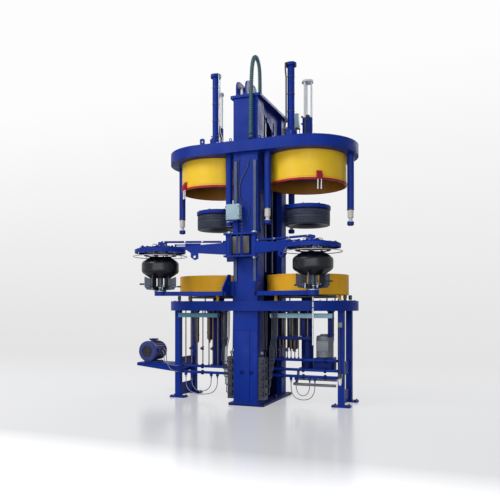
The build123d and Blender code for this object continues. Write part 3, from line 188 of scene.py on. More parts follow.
def cast(name, colour, rough=0.6, metallic=0.0):
    """Cast iron or aluminium: pitted, mottled and a little oily."""
    shade = Shader(name)
    pits = shade.noise(75, 6, 0.7)
    tone = shade.tone(shade.noise(3.2, 5, 0.6), colour, 0.7, 1.15, 0.3, 0.72)
    tone = shade.blend(shade.level(pits, 0.0, 0.4, 0.5, 0.75), tone, scaled(colour, 0.5))
    shade.bump(pits, 0.3, 0.0015)
    return shade.finish(tone, shade.level(pits, rough - 0.15, rough + 0.15), metallic)


def plastic(name, colour, rough=0.4):
    """Moulded plastic or enamelled sheet with a fine texture and finger marks."""
    shade = Shader(name)
    marks = shade.noise(11, 4, 0.6)
    shade.bump(shade.noise(600, 2), 0.07, 0.0004)
    return shade.finish(shade.tone(marks, colour, 0.88, 1.07),
        shade.level(marks, rough - 0.08, rough + 0.1))


def inside_dome(inner_r, ceiling):
    """Where a point lies on a dome's inner wall or ceiling, nought or one."""
    def mask(shade):
        across = shade.sum("SUBTRACT", shade.sum("ABSOLUTE", shade.axis("X")), CAVITY_X)
        radius = shade.sum("SQRT", shade.sum("ADD", shade.sum("POWER", across, 2.0),
            shade.sum("POWER", shade.axis("Y"), 2.0)))
        near = shade.sum("LESS_THAN", radius, inner_r)
        return shade.sum("MULTIPLY", near, shade.sum("LESS_THAN", shade.axis("Z"), ceiling))
    return mask


def above(height):
    return lambda shade: shade.sum("GREATER_THAN", shade.axis("Z"), height)


def outside(low, high):
    return lambda shade: shade.sum("ADD", shade.sum("GREATER_THAN", shade.axis("Z"), high),
        shade.sum("LESS_THAN", shade.axis("Z"), low))


BLUE = linear(13, 44, 134)
BROWN = linear(176, 118, 44)
DOME_INNER_R = 0.5925
DOME_CEILING = 3.8005
RODS_BARE_BELOW, RODS_TIP_ABOVE = 2.985, 2.80

SHADES = {
    "blue": paint("blue paint", BLUE),
    "deep_blue": paint("deep blue paint", linear(12, 32, 100), 0.42),
    # Near-black blue for the column's webs: painted shade, standing in for the side faces that the lamps
    # leave dark.
    "painted_shade_blue": paint("shaded blue paint", linear(9, 16, 52), 0.8, specular=0.0),
    "yellow": paint("yellow paint", linear(228, 170, 42), 0.45, dirt=0.3),
    "dome": paint("yellow dome paint", linear(228, 186, 38), 0.4, 0.0, 0.2, BROWN,
                  inside_dome(DOME_INNER_R, DOME_CEILING), 0.25),
    "red": paint("red paint", linear(158, 34, 52), 0.42, dirt=0.2),
    "rust": paint("worn red paint", linear(112, 46, 42), 0.5, dirt=0.5),
    "cyan": paint("pale blue enamel", linear(150, 174, 186), 0.36, dirt=0.15),
    "teal": paint("teal enamel", linear(96, 146, 166), 0.4, dirt=0.15),
    "pale_cyan": paint("pale cyan enamel", linear(158, 194, 210), 0.4, dirt=0.12),
    "white": plastic("white plastic", linear(216, 218, 220)),
    "grey": plastic("grey plastic", linear(112, 116, 124), 0.45),
    "black": plastic("black plastic", linear(24, 25, 29), 0.42),
    "steel": metal("machined steel", linear(168, 172, 180), 0.3),
    "rail": metal("ground rail steel", linear(62, 70, 96), 0.42, (60, 60, 1), specular=0.3),
    "chrome": metal("chromed rod", linear(222, 226, 232), 0.09, (1, 1, 90), 0.12),
    "dark": metal("dark oiled steel", linear(62, 66, 76), 0.42),
    "brass": metal("brass", linear(176, 134, 66), 0.3),
    "alloy": cast("cast alloy", linear(150, 154, 162), 0.42, 0.8),
    "block": cast("dark valve block", linear(58, 62, 76), 0.5, 0.5),
    "copper": metal("brown pipe", linear(112, 92, 82), 0.4),
    "mould": cast("mould casting", linear(92, 94, 98), 0.45, 0.7),
    "cast": cast("painted casting", linear(26, 42, 110), 0.5),
    "uncured": rubber("uncured tyre rubber", linear(5, 10, 20), 0.3, 0.0, 90, 0.0, 0.28),
    "cured": rubber("cured tyre rubber", linear(38, 47, 66), 0.5, 0.0, 220, 0.15, 0.3),
    "bladder": rubber("bladder rubber", linear(34, 34, 38), 0.42, 0.15),
    "hose": rubber("hose rubber", linear(24, 25, 29), 0.42, 0.15),
    "hose_grey": rubber("grey hose", linear(118, 114, 116), 0.4, 0.2, dust=0.1),
    "box": paint("pale blue box enamel", BLUE, 0.36, 0.0, 0.15, linear(142, 168, 180), above(2.8)),
    "satin": metal("satin steel", linear(128, 132, 142), 0.36),
    "conduit": plastic("teal conduit", linear(24, 48, 54), 0.5),
    # A lighter copy of the conduit's teal for its rib crests: a painted highlight.
    "lit_conduit_rib": plastic("painted lit teal conduit rib", linear(62, 118, 126), 0.42),
    "wire": metal("bright wire", linear(150, 153, 160), 0.3),
    "rod": paint("blue rod tube", linear(196, 192, 188), 0.34, 0.0, 0.1, BLUE,
                 outside(RODS_TIP_ABOVE, RODS_BARE_BELOW)),
    "mould_cylinder": paint("mould cylinder paint", BLUE, 0.34, 0.1, 0.1, linear(224, 227, 232),
                            above(4.46)),
}

NODE_SHADES = {
    "blue": (
        "base_platform", "column_front_box", "column_head", "column_rear_box", "crown_cylinders",
        "header_pipes", "leg_frames", "loader_arm", "loader_carriage", "loader_chuck", "motor_shelf",
        "stand_arms", "unloader_arm", "unloader_carriage", "unloader_chuck", "upper_beam",
    ),
    "deep_blue": ("base_plate", "centre_cylinders", "lift_cylinder"),
    "rail": ("beam_rails", "loader_rails", "unloader_rails"),
    "mould": ("lower_moulds", "upper_moulds"),
    "alloy": ("loader_finger",), "bladder": ("bladders",), "block": ("valve_manifolds",),
    "box": ("loader_junction_box",), "cast": ("pump_motor",), "chrome": ("lift_rod",),
    "cured": ("cured_tyre",), "dark": ("tyre_stand",), "dome": ("upper_dome",),
    "mould_cylinder": ("mould_cylinders",), "red": ("dome_lips",), "rod": ("locking_rods",),
    "teal": ("cable_troughs",), "uncured": ("green_tyre",), "painted_shade_blue": ("column_webs",),
    "yellow": ("lower_dome",),
}


def dress(target, shade):
    target.data.materials.clear()
    target.data.materials.append(SHADES[shade])


for node_name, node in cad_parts.items():
    dress(node, next((shade for shade, stems in NODE_SHADES.items() if node_name.startswith(stems)),
        "steel"))


# Forms: each collects turned, boxed and swept shapes in one mesh

def band(inner, outer, edge, high):
    """Section of a collar: its outer face stands out from its inner radius over a sloped edge."""
    return [(inner, 0), (outer, edge), (outer, high - edge), (inner, high)]


def stub(wide, low, seat, narrow, start, end):
    """Section of a fitting: a wide part from low to seat and a narrow one from start to end."""
    return [(wide, low), (wide, seat), (narrow, start), (narrow, end)]


def square_axes(along):
    """Two directions square to a direction, in a steady order."""
    along = along.normalized()
    start = Z if abs(along.z) < 0.9 else X
    first = (start - along * start.dot(along)).normalized()
    return first, along.cross(first)


def shown(name, data):
    """A new object in the scene."""
    made = bpy.data.objects.new(name, data)
    bpy.context.scene.collection.objects.link(made)
    return made


class Form:
    """One mesh built of several shapes, made into one piece."""

    def __init__(self):
        self.mesh = bmesh.new()

    def ring(self, centre, first, second, radius, sides, turn=0.0):
        return [self.mesh.verts.new(centre + first * radius * cos(turn + 2 * pi * step / sides)
                                    + second * radius * sin(turn + 2 * pi * step / sides))
                for step in range(sides)]

    def bridge(self, lower, upper):
        count = len(lower)
        for step in range(count):
            after = (step + 1) % count
            self.mesh.faces.new((lower[step], lower[after], upper[after], upper[step]))

    def skin(self, rings, closed=False):
        """Walls from ring to ring, which close on themselves or end in caps."""
        for lower, upper in zip(rings, rings[1:] + rings[:1] * closed):
            self.bridge(lower, upper)
        if not closed:
            self.mesh.faces.new(list(reversed(rings[0])))
            self.mesh.faces.new(rings[-1])
        return self

    def turned(self, origin, axis, profile, sides=40, closed=False):
        """A profile of (radius, height) turned round an axis; ends are capped unless it closes on itself."""
        origin, axis = Vector(origin), Vector(axis).normalized()
        first, second = square_axes(axis)
        return self.skin([self.ring(origin + axis * height, first, second, radius, sides)
            for radius, height in profile], closed)

    def rod(self, start, end, radius, sides=24):
        """A round bar with bevelled ends."""
        start, end = Vector(start), Vector(end)
        length = (end - start).length
        edge = min(radius, length) * ROD_EDGE_SHARE
        return self.turned(start, end - start, [(radius - edge, 0), (radius, edge), (radius, length - edge),
            (radius - edge, length)], sides)

    def swept(self, path, radius_at, sides):
        """A round bar along a path, its radius given for each step."""
        first = square_axes(path[1] - path[0])[0]
        rings = []
        for step, point in enumerate(path):
            along = (path[min(step + 1, len(path) - 1)] - path[max(step - 1, 0)]).normalized()
            first = (first - along * first.dot(along)).normalized()
            rings.append(self.ring(point, first, along.cross(first), radius_at(step), sides))
        return self.skin(rings)

    def tube(self, points, radius, sides=14, bend=None):
        """A pipe along straight runs whose corners are rounded."""
        path = rounded([Vector(point) for point in points], bend or radius * 3)
        return self.swept(path, lambda step: radius, sides)

    def box(self, low, high, edge=0.004, turn=None):
        """A block between two corners with its edges bevelled; turn is a matrix put on it."""
        low, high = Vector(low), Vector(high)
        made = bmesh.ops.create_cube(self.mesh, size=1)["verts"]
        size, middle = high - low, (high + low) / 2
        for vert in made:
            vert.co = vert.co * size + middle
        edge = min(edge, 0.3 * min(size))
        edges = list({joint for vert in made for joint in vert.link_edges})
        bevelled = bmesh.ops.bevel(self.mesh, geom=edges, offset=edge, segments=2, affect="EDGES",
            profile=0.5)
        if turn:
            for vert in {vert for face in bevelled["faces"] for vert in face.verts}:
                vert.co = turn @ vert.co
        return self

    def plate(self, outline, origin, first, second, thick):
        """A flat outline of (along first, along second), given a thickness along their normal."""
        origin, first, second = Vector(origin), Vector(first).normalized(), Vector(second).normalized()
        normal = first.cross(second)
        return self.skin([[self.mesh.verts.new(origin + first * a + second * b + normal * offset)
            for a, b in outline] for offset in (-thick / 2, thick / 2)])
    def hexagon(self, at, axis, size, high):
        """A hexagon nut or head with a washer under it."""
        at, axis = Vector(at), Vector(axis).normalized()
        self.turned(at, axis, [(size * 0.98, 0), (size, size * 0.08), (size * 0.98, size * 0.16)], 20)
        seat = at + axis * size * 0.16
        self.turned(seat, axis, [(size * 0.8, 0), (size * 0.86, high * 0.1), (size * 0.86, high * 0.85),
            (size * 0.72, high)], 6)
        return self

    def torus(self, centre, axis, radius, wire, sides=64, facets=10):
        profile = [(radius + wire * cos(2 * pi * step / facets), wire * sin(2 * pi * step / facets))
            for step in range(facets)]
        return self.turned(centre, axis, profile, sides, closed=True)

    def piece(self, name, body, shade, slot=None, crease=34, bevel=0.0):
        """The mesh as a piece in its shade that rides on a body; the slot argument is not used."""
        bmesh.ops.recalc_face_normals(self.mesh, faces=self.mesh.faces)
        data = bpy.data.meshes.new(name)
        self.mesh.to_mesh(data)
        self.mesh.free()
        made = shown(name, data)
        data.polygons.foreach_set("use_smooth", [True] * len(data.polygons))
        data.set_sharp_from_angle(angle=radians(crease))
        if bevel:
            edging = made.modifiers.new("edges", "BEVEL")
            edging.width = bevel
            edging.segments = 2
            edging.limit_method = "ANGLE"
            edging.angle_limit = radians(crease)
            edging.harden_normals = True
        dress(made, shade)
        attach(made, body)
        return made


ROD_EDGE_SHARE = 0.12


def rounded(points, bend, steps=6):
    """A path whose corners are turned into short arcs."""
    path = [points[0]]
    for before, corner, after in zip(points, points[1:], points[2:]):
        back, onward = before - corner, after - corner
        reach = min(bend, back.length * 0.45, onward.length * 0.45)
        start, end = corner + back.normalized() * reach, corner + onward.normalized() * reach
        for step in range(steps + 1):
            share = step / steps
            path.append(start.lerp(corner, share).lerp(corner.lerp(end, share), share))
    path.append(points[-1])
    return path


def around(centre_x, centre_y, radius, angle):
    """A point on a circle seen from above, and the direction outwards there."""
    out = Vector((cos(radians(angle)), sin(radians(angle)), 0))
    return Vector((centre_x, centre_y, 0)) + out * radius, out

# Hoses that hang in loops below the headers and the two from the pump, on the same routes as the frame's

HOSE_R = 0.0065


def loop_route(middle, half_points):
    """A loop's whole route, from half its points as (distance from its middle, y, z)."""
    points = [(round(middle - across, 3), y, z) for across, y, z in half_points]
    return points + [(round(middle + across, 3), y, z) for across, y, z in reversed(half_points[:-1])]


HOSE_ROUTES = (
    loop_route(-0.924, (
        (0.284, -0.330, 0.380), (0.284, -0.330, 0.270), (0.270, -0.335, 0.190), (0.196, -0.341, 0.104),
        (0, -0.344, 0.072),
    )),
    loop_route(-0.925, (
        (0.175, -0.330, 0.380), (0.175, -0.330, 0.290), (0.165, -0.333, 0.225), (0.111, -0.337, 0.152),
        (0, -0.339, 0.124),
    )),
    loop_route(0.788, (
        (0.188, -0.330, 0.380), (0.188, -0.330, 0.270), (0.177, -0.335, 0.190), (0.124, -0.341, 0.108),
        (0, -0.344, 0.076),
    )),
    loop_route(0.788, (
        (0.108, -0.330, 0.380), (0.108, -0.330, 0.290), (0.100, -0.333, 0.232), (0.066, -0.337, 0.168),
        (0, -0.339, 0.140),
    )),
    (
        (-1.800, -0.078, 0.778), (-1.752, -0.078, 0.778), (-1.706, -0.100, 0.748), (-1.672, -0.160, 0.660),
        (-1.606, -0.262, 0.560), (-1.506, -0.350, 0.484), (-1.420, -0.383, 0.443), (-1.345, -0.386, 0.435),
        (-1.290, -0.386, 0.435),
    ),
    (
        (-1.800, -0.122, 0.745), (-1.758, -0.122, 0.745), (-1.722, -0.150, 0.716), (-1.688, -0.214, 0.640),
        (-1.618, -0.304, 0.575), (-1.520, -0.368, 0.548), (-1.430, -0.384, 0.537), (-1.355, -0.386, 0.535),
        (-1.290, -0.386, 0.535),
    ),
)


def nurbs(name, points, resolution):
    """A curve of the frame's own kind along a route, still without thickness."""
    data = bpy.data.curves.new(name, "CURVE")
    data.dimensions = "3D"
    data.resolution_u = resolution
    spline = data.splines.new("NURBS")
    spline.points.add(len(points) - 1)
    for point, place in zip(spline.points, points):
        point.co = (*place, 1)
    spline.order_u = 3
    spline.use_endpoint_u = True
    return shown(name, data)


def drawn(curve):
    """The points that a curve without thickness is drawn through, and its length."""
    bpy.context.view_layer.update()
    line = curve.evaluated_get(bpy.context.evaluated_depsgraph_get()).to_mesh()
    points = [vert.co.copy() for vert in line.vertices]
    return points, sum((b - a).length for a, b in zip(points, points[1:]))


def curve_length(made):
    """The drawn length of a curve, measured on its evaluated line."""
    graph = bpy.context.evaluated_depsgraph_get()
    bevel = made.data.bevel_depth
    made.data.bevel_depth = 0
    bpy.context.view_layer.update()
    line = made.evaluated_get(graph).to_mesh()
    total = sum((line.vertices[edge.vertices[0]].co - line.vertices[edge.vertices[1]].co).length
        for edge in line.edges)
    made.data.bevel_depth = bevel
    bpy.context.view_layer.update()
    return total


for number, route in enumerate(HOSE_ROUTES, 1):
    hose = nurbs(f"hanging_hose_{number}", route, 12)
    hose.data.bevel_depth = HOSE_R
    hose.data.bevel_resolution = 4
    hose.data.materials.append(SHADES["hose_grey"])
    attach(hose, "root")
    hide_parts("hanging_hoses")
    round(curve_length(hose), 3)


# Ribbed conduit over the top of the column

CONDUIT_R, CONDUIT_ROOT_R, CONDUIT_PITCH = 0.030, 0.0225, 0.032
STEPS_PER_RIB = 4
CONDUIT_POINTS = (
    (0.110, -0.775, 4.015), (0.110, -0.775, 4.445), (0.118, -0.769, 4.900), (0.127, -0.755, 5.1425),
    (0.137, -0.6856, 5.273), (0.147, -0.5756, 5.266), (0.153, -0.506, 5.1356), (0.155, -0.500, 4.910),
    (0.155, -0.500, 4.700),
)


def even_path(points, spacing):
    """Evenly spaced points along the frame's own kind of line through a route."""
    guide = nurbs("route", points, 24)
    line, length = drawn(guide)
    bpy.data.objects.remove(guide)
    count = ceil(length / spacing)
    step, walked, path = length / count, 0.0, [line[0]]
    for a, b in zip(line, line[1:]):
        run = (b - a).length
        while walked + run >= step * len(path) and len(path) < count:
            path.append(a.lerp(b, (step * len(path) - walked) / run))
        walked += run
    return path + [line[-1]]


def conduit_radius(step):
    share = 0.5 + 0.5 * cos(2 * pi * step / STEPS_PER_RIB)
    return CONDUIT_ROOT_R + (CONDUIT_R - CONDUIT_ROOT_R) * share


path = even_path(CONDUIT_POINTS, CONDUIT_PITCH / STEPS_PER_RIB)
made = Form().swept(path, conduit_radius, 24).piece("ribbed_conduit", "root", "conduit", "conduit_plastic",
    60)
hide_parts("head_conduit")
# Rings on the rib crests in the lighter teal: a painted highlight along the ribs.
rib_rings = Form()
for step in range(STEPS_PER_RIB, len(path) - STEPS_PER_RIB, STEPS_PER_RIB):
    rib_rings.torus(path[step], path[step + 1] - path[step - 1], 0.0265, 0.0062, 28, 10)
rib_rings.piece("conduit_rib_rings", "root", "lit_conduit_rib")
collars, seat = Form(), Form()
collars.turned((0.110, -0.775, 4.072), Z, [(0.033, 0), (0.036, 0.003), (0.036, 0.022), (0.033, 0.026)], 24)
collars.piece("conduit_collar", "root", "black")
seat.turned((0.155, -0.500, 4.701), Z, [(0.044, 0), (0.044, 0.02), (0.036, 0.024), (0.036, 0.062),
    (0.033, 0.068)], 24)
seat.piece("conduit_seat", "root", "brass")


# Beam: bolts, lifting eyes, red brackets and weld beads, all carried by the beam

DECK_Z = 4.0
DOME_R = 0.605


def bolt_circle(form, centre, radius, count, size, high, start=0.0, span=360.0, axis=Z):
    """Hexagon heads on a circle round an axis, through a span of angles."""
    centre = Vector(centre)
    first, second = (X, Y) if abs(Vector(axis).z) > 0.9 else square_axes(Vector(axis))
    for step in range(count):
        turn = radians(start + span * step / count)
        form.hexagon(centre + (first * cos(turn) + second * sin(turn)) * radius, axis, size, high)


beam_bolts = Form()
for word, side in SIDES:
    outward = 0 if side > 0 else 180
    bolt_circle(beam_bolts, (side * CAVITY_X, 0, DECK_Z), 0.735, 11, 0.017, 0.016, outward - 82.5, 180)
    bolt_circle(beam_bolts, (side * CAVITY_X, 0, DECK_Z), 0.235, 10, 0.016, 0.016, 18)
for x in (-0.45, -0.3, 0.3, 0.45):
    for y in (-0.74, 0.74):
        beam_bolts.hexagon((x, y, DECK_Z), Z, 0.017, 0.016)
beam_bolts.piece("beam_bolts", "upper_beam", "steel")

eyes = Form()
for x in (-0.235, 0.235):
    for y in (-0.735, 0.735):
        eyes.turned((x, y, DECK_Z), Z, [(0.022, 0), (0.022, 0.006), (0.012, 0.012), (0.010, 0.018)], 24)
        eyes.torus((x, y, DECK_Z + 0.036), Y, 0.019, 0.0065, 32)
eyes.piece("lifting_eyes", "upper_beam", "blue")

beads = Form()
for word, side in SIDES:
    for height in (3.826, 3.43):
        beads.torus((side * CAVITY_X, 0, height), Z, DOME_R + 0.0005, 0.0045, 96, 8)
    for angle in (-90 - side * 68, -90 + side * 112):
        foot, out = around(side * CAVITY_X, 0, DOME_R, angle)
        beads.rod(foot + Z * 3.435, foot + Z * 3.822, 0.0042, 8)
beads.piece("dome_weld_beads", "upper_beam", "yellow")

brackets, pins = Form(), Form()
for side, angle in ((1, -58), (-1, -126)):
    foot, out = around(side * CAVITY_X, 0, DOME_R, angle)
    across = out.cross(Z)
    for offset in (-0.03, 0, 0.03):
        brackets.plate([(0, 3.375), (0.062, 3.375), (0.062, 3.43), (0.02, 3.505), (0, 3.505)],
            foot + across * offset - out * 0.004, out, Z, 0.024)
    for offset in (-0.026, 0.026):
        head = foot + across * offset + out * 0.03 + Z * 3.38
        pins.turned(head, -Z, [(0.014, -0.004), (0.014, 0.004), (0.009, 0.008), (0.009, 0.122),
            (0.012, 0.126), (0.012, 0.144), (0.007, 0.15)], 16)
brackets.piece("dome_brackets", "upper_beam", "red", "red_lip", bevel=0.0015)
pins.piece("dome_bracket_pins", "upper_beam", "white")

# Cylinders on the beam: ports, pipes, nuts and glands

CROWN_X, CROWN_Y, CROWN_TOP = 0.626, -0.416, 5.19
PORT_LOW_Z, PORT_HIGH_Z, PIPE_FOOT_Z = 4.09, 4.42, 4.002
cylinder_nuts, cylinder_glands = Form(), Form()
for word, side in SIDES:
    cylinder_pipes = Form()
    for step in range(4):
        at, out = around(side * CROWN_X, CROWN_Y, 0.072, 45 + 90 * step)
        cylinder_nuts.hexagon(at + Z * CROWN_TOP, Z, 0.0125, 0.008)
        cylinder_nuts.hexagon(at + Z * 4.2, Z, 0.0125, 0.012)
    out = Vector((-0.5, -0.866, 0)) if side > 0 else Vector((0.82, -0.572, 0))
    port = Vector((side * CROWN_X, CROWN_Y, 5.168)) + out * 0.08
    low_port = Vector((side * CROWN_X, CROWN_Y, 4.17)) + out * 0.09
    for at in (port, low_port):
        cylinder_glands.turned(at, out, stub(0.02, -0.004, 0.010, 0.014, 0.014, 0.022), 6)
    if side > 0:
        cylinder_pipes.tube([port + out * 0.018, port + out * 0.034, port + out * 0.034 - Z * 0.12,
            port + out * 0.02 - Z * 0.2, port + out * 0.02 - Z * 0.88, low_port + out * 0.075 - Z * 0.02,
            low_port + out * 0.075 - Z * 0.168], 0.0125, 16, 0.04)
    else:
        for shift in (-0.014, 0.014):
            aside = out.cross(Z) * shift
            cylinder_pipes.tube([port + out * 0.018 + aside, port + out * 0.03 + aside,
                port + out * 0.03 - Z * 0.9 + aside, low_port + out * 0.06 + aside * 2,
                low_port + out * 0.06 + aside * 2 - Z * 0.168], 0.0055, 12, 0.03)
    cylinder_pipes.tube([low_port + out * 0.018, low_port + out * 0.04, low_port + out * 0.04 - Z * 0.168],
        0.0085, 14, 0.02)
    for height in (4.45, 4.72, 4.98):
        base = Vector((side * CROWN_X, CROWN_Y, height))
        cylinder_glands.turned(base, Z, band(0.0565, 0.0595, 0.003, 0.016), 36)
    cylinder_pipes.tube([(side * CAVITY_X, -0.108, PORT_HIGH_Z), (side * CAVITY_X, -0.15, PORT_HIGH_Z),
        (side * CAVITY_X, -0.15, 4.18), (side * (CAVITY_X - 0.12), -0.15, 4.06),
        (side * (CAVITY_X - 0.12), -0.15, PIPE_FOOT_Z)], 0.008, 14, 0.04)
    cylinder_pipes.tube([(side * CAVITY_X, -0.108, PORT_LOW_Z), (side * CAVITY_X, -0.14, PORT_LOW_Z),
        (side * CAVITY_X, -0.14, PIPE_FOOT_Z)], 0.008, 14, 0.03)
    cylinder_pipes.piece(f"cylinder_pipes_{word}", "upper_beam", "hose" if side > 0 else "steel",
        "dark_steel")
    for step in range(4):
        at, out = around(side * CAVITY_X, 0, 0.096, 45 + 90 * step)
        cylinder_nuts.hexagon(at + Z * 4.035, Z, 0.015, 0.014)
    cylinder_nuts.turned((side * CAVITY_X, 0, 4.46), Z, [(0.05, 0), (0.05, 0.02), (0.036, 0.03),
        (0.036, 0.05), (0.026, 0.055)], 32)
    for height in (PORT_LOW_Z, PORT_HIGH_Z):
        cylinder_glands.turned((side * CAVITY_X, -0.08, height), -Y,
            stub(0.021, -0.004, 0.012, 0.014, 0.016, 0.03), 6)
cylinder_nuts.piece("cylinder_nuts", "upper_beam", "dark", "machined_steel")
cylinder_glands.piece("cylinder_glands", "upper_beam", "black")

top_box, top_box_parts = Form(), Form()
box_low, box_high = Vector((0.508, -0.075, 4.315)), Vector((0.628, 0.055, 4.535))
top_box.box(box_low, box_high, 0.006)
top_box.box(box_low + Vector((-0.004, -0.012, -0.002)), Vector((box_high.x + 0.004, box_low.y,
    box_high.z + 0.002)), 0.004)
top_box.piece("cylinder_junction_box", "upper_beam", "cyan")
for height in (4.37, 4.48):
    top_box_parts.box((0.67, -0.04, height), (0.70, 0.02, height + 0.02), 0.003)
for x in (0.575, 0.651):
    for height in (4.333, 4.517):
        top_box_parts.turned((x, -0.0865, height), -Y, [(0.008, 0), (0.008, 0.004), (0.005, 0.006)], 12)
for x in (0.585, 0.64):
    top_box_parts.turned((x, -0.01, 4.317), -Z, stub(0.012, 0, 0.012, 0.008, 0.016, 0.03), 16)
    top_box_parts.tube([(x, -0.01, 4.295), (x, -0.01, 4.16), (x, -0.06, 4.04), (x, -0.06, 4.0)], 0.006, 12)
top_box_parts.piece("cylinder_box_fittings", "upper_beam", "black")

# Locking rods: nuts and clamps over the beam

rod_parts = Form()
for x, y in ((-1.449, 0), (1.449, 0), (-0.315, -0.6), (0.315, -0.6), (-0.315, 0.6), (0.315, 0.6)):
    bolt_circle(rod_parts, (x, y, DECK_Z), 0.062, 6, 0.008, 0.009, 30)
    rod_parts.turned((x, y, 2.978), Z, band(0.0535, 0.056, 0.003, 0.016), 40)
rod_parts.piece("locking_rod_rings", "upper_beam", "dark")


# Column: head fittings, cover sheets, seams, side rails, weld lines and bolts

FRONT_Y, REAR_Y, BOX_X, HEAD_Z = -0.71, 0.65, 0.194, 4.70
head_valves = Form()
for x, y, high in ((-0.095, -0.615, 0.12), (-0.052, -0.56, 0.085), (-0.098, -0.40, 0.10)):
    head_valves.box((x - 0.024, y - 0.024, HEAD_Z), (x + 0.024, y + 0.024, HEAD_Z + high), 0.004)
    head_valves.turned((x, y, HEAD_Z + high), Z, [(0.018, 0), (0.018, 0.012), (0.011, 0.018), (0.011, 0.04),
        (0.016, 0.044), (0.016, 0.06), (0.011, 0.064)], 20)
head_valves.piece("head_valves", "root", "alloy")
head_pins = Form()
for x in (-0.171, 0.021):
    head_pins.hexagon((x, -0.475, 4.865), X * (1 if x > 0 else -1), 0.024, 0.012)
head_pins.piece("head_pin_nuts", "root", "dark")

cover, seams, screws = Form(), Form(), Form()
for low_x, high_x in ((-0.186, 0.0655), (0.0705, 0.186)):
    cover.box((low_x, FRONT_Y - 0.0032, 0.05), (high_x, FRONT_Y + 0.001, 1.131), 0.0012)
cover.piece("column_cover", "root", "blue")
seams.box((0.0662, FRONT_Y - 0.0012, 0.05), (0.0698, FRONT_Y + 0.001, 1.134), 0.0004)
seams.box((-BOX_X + 0.004, FRONT_Y - 0.0022, 1.1315), (BOX_X - 0.004, FRONT_Y + 0.001, 1.1345), 0.0008)
for x in (-0.05, 0.098):
    seams.tube([(x - 0.018, FRONT_Y, 0.53), (x - 0.018, FRONT_Y - 0.03, 0.53),
        (x - 0.018, FRONT_Y - 0.034, 0.49), (x + 0.018, FRONT_Y - 0.034, 0.49),
        (x + 0.018, FRONT_Y - 0.03, 0.53), (x + 0.018, FRONT_Y, 0.53)], 0.005, 10, 0.012)
# The seams and handles take the near-black blue of the webs, which is painted shade.
seams.piece("column_seams", "root", "painted_shade_blue")
for x, y in ((-0.24, 0), (0.24, 0)):
    screws.turned((x, y, 0.035), Z, [(0.034, 0), (0.034, 0.004)], 24)
    screws.hexagon((x, y, 0.037), Z, 0.026, 0.022)
    screws.rod((x, y, 0.05), (x, y, 0.09), 0.014, 16)
screws.piece("column_bolts", "root", "dark", "machined_steel")

side_rails, rail_clips = Form(), Form()
for side in (-1, 1):
    side_rails.box((side * 0.1945, -0.60, 2.62), (side * 0.2125, -0.575, 3.24), 0.003)
    for z in (2.66, 2.93, 3.2):
        rail_clips.box((side * 0.1938, -0.615, z - 0.02), (side * 0.2165, -0.56, z + 0.02), 0.003)
        rail_clips.hexagon((side * 0.2165, -0.5875, z), X * side, 0.008, 0.007)
side_rails.piece("side_rails", "root", "rail")
rail_clips.piece("side_rail_clips", "root", "dark")

rail_screws = Form()
for rails, face, out in (("loader_rails", FRONT_Y, -1), ("unloader_rails", REAR_Y, 1)):
    low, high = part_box(rails)
    count = 12
    for x in (-0.155, 0.155):
        for step in range(count):
            z = low.z + (high.z - low.z) * (step + 0.5) / count
            depth = face + out * 0.022
            rail_screws.turned((x, depth, z), Y * out, [(0.009, -0.001), (0.009, 0.0006), (0.0055, 0.0006),
                (0.005, -0.0005)], 16)
rail_screws.piece("rail_screws", "root", "dark")

weld_lines = Form()
for x in (-BOX_X, BOX_X):
    for y in (FRONT_Y, REAR_Y):
        weld_lines.rod((x, y, 0.04), (x, y, 4.65), 0.004, 8)
    weld_lines.rod((x, FRONT_Y, 0.037), (x, -0.43, 0.037), 0.006, 8)
weld_lines.rod((-BOX_X, FRONT_Y, 0.037), (BOX_X, FRONT_Y, 0.037), 0.006, 8)
weld_lines.piece("column_welds", "root", "blue")

FRONT_PIPE_Y = -0.722
front_pipes = Form()
front_pipes.tube([(0.055, FRONT_PIPE_Y, 3.72), (0.045, FRONT_PIPE_Y, 3.62), (-0.085, FRONT_PIPE_Y, 3.38),
    (-0.09, FRONT_PIPE_Y, 3.16), (-0.05, FRONT_PIPE_Y, 3.10), (0.055, FRONT_PIPE_Y, 3.05),
    (0.075, FRONT_PIPE_Y, 2.92), (0.04, FRONT_PIPE_Y, 2.84), (0.04, FRONT_PIPE_Y, 2.80)], 0.0065, 12, 0.05)
front_pipes.tube([(-0.10, FRONT_PIPE_Y, 3.74), (-0.115, FRONT_PIPE_Y, 3.60), (-0.118, FRONT_PIPE_Y, 3.10)],
    0.0055, 12, 0.05)
front_pipes.piece("column_front_pipes", "root", "hose")


# Loader: carriage pins, painted shade in its gaps, junction box fittings, arms' link bars, heads, rings and
# hoops

PIVOT_X, PIVOT_Y = 0.2, -0.87
STAND_ANGLE = radians(18.5)
ARM_LENGTH = hypot(CAVITY_X - PIVOT_X, PIVOT_Y)
CHUCK_LOW, CHUCK_THICK, CHUCK_R = 2.325, 0.026, 0.38
LINK_Z = 2.471


class Arm:
    """An arm's own directions, along it, across it and up, from its pivot."""

    def __init__(self, pivot_x, pivot_y, side, angle):
        along = Vector((side * cos(angle), -sin(angle), 0))
        turn = Matrix((along, Z.cross(along), Z)).transposed().to_4x4()
        self.matrix = Matrix.Translation((side * pivot_x, pivot_y, 0)) @ turn

    def at(self, along, across, up):
        return self.matrix @ Vector((along, across, up))

    def way(self, angle):
        """A level direction, turned by degrees from along the arm."""
        return self.matrix.to_3x3() @ (Matrix.Rotation(radians(angle), 3, "Z") @ X)


def pivot_pin(form, x, y, low, high):
    """The capped pin of an arm's pivot, with its foot under the carriage."""
    form.turned((x, y, high - 0.001), Z, [(0.044, 0), (0.044, 0.012), (0.03, 0.016), (0.03, 0.03),
        (0.022, 0.034)], 32)
    bolt_circle(form, (x, y, high + 0.011), 0.037, 6, 0.006, 0.006)
    form.turned((x, y, low + 0.001), -Z, stub(0.04, 0, 0.01, 0.024, 0.016, 0.024), 32)


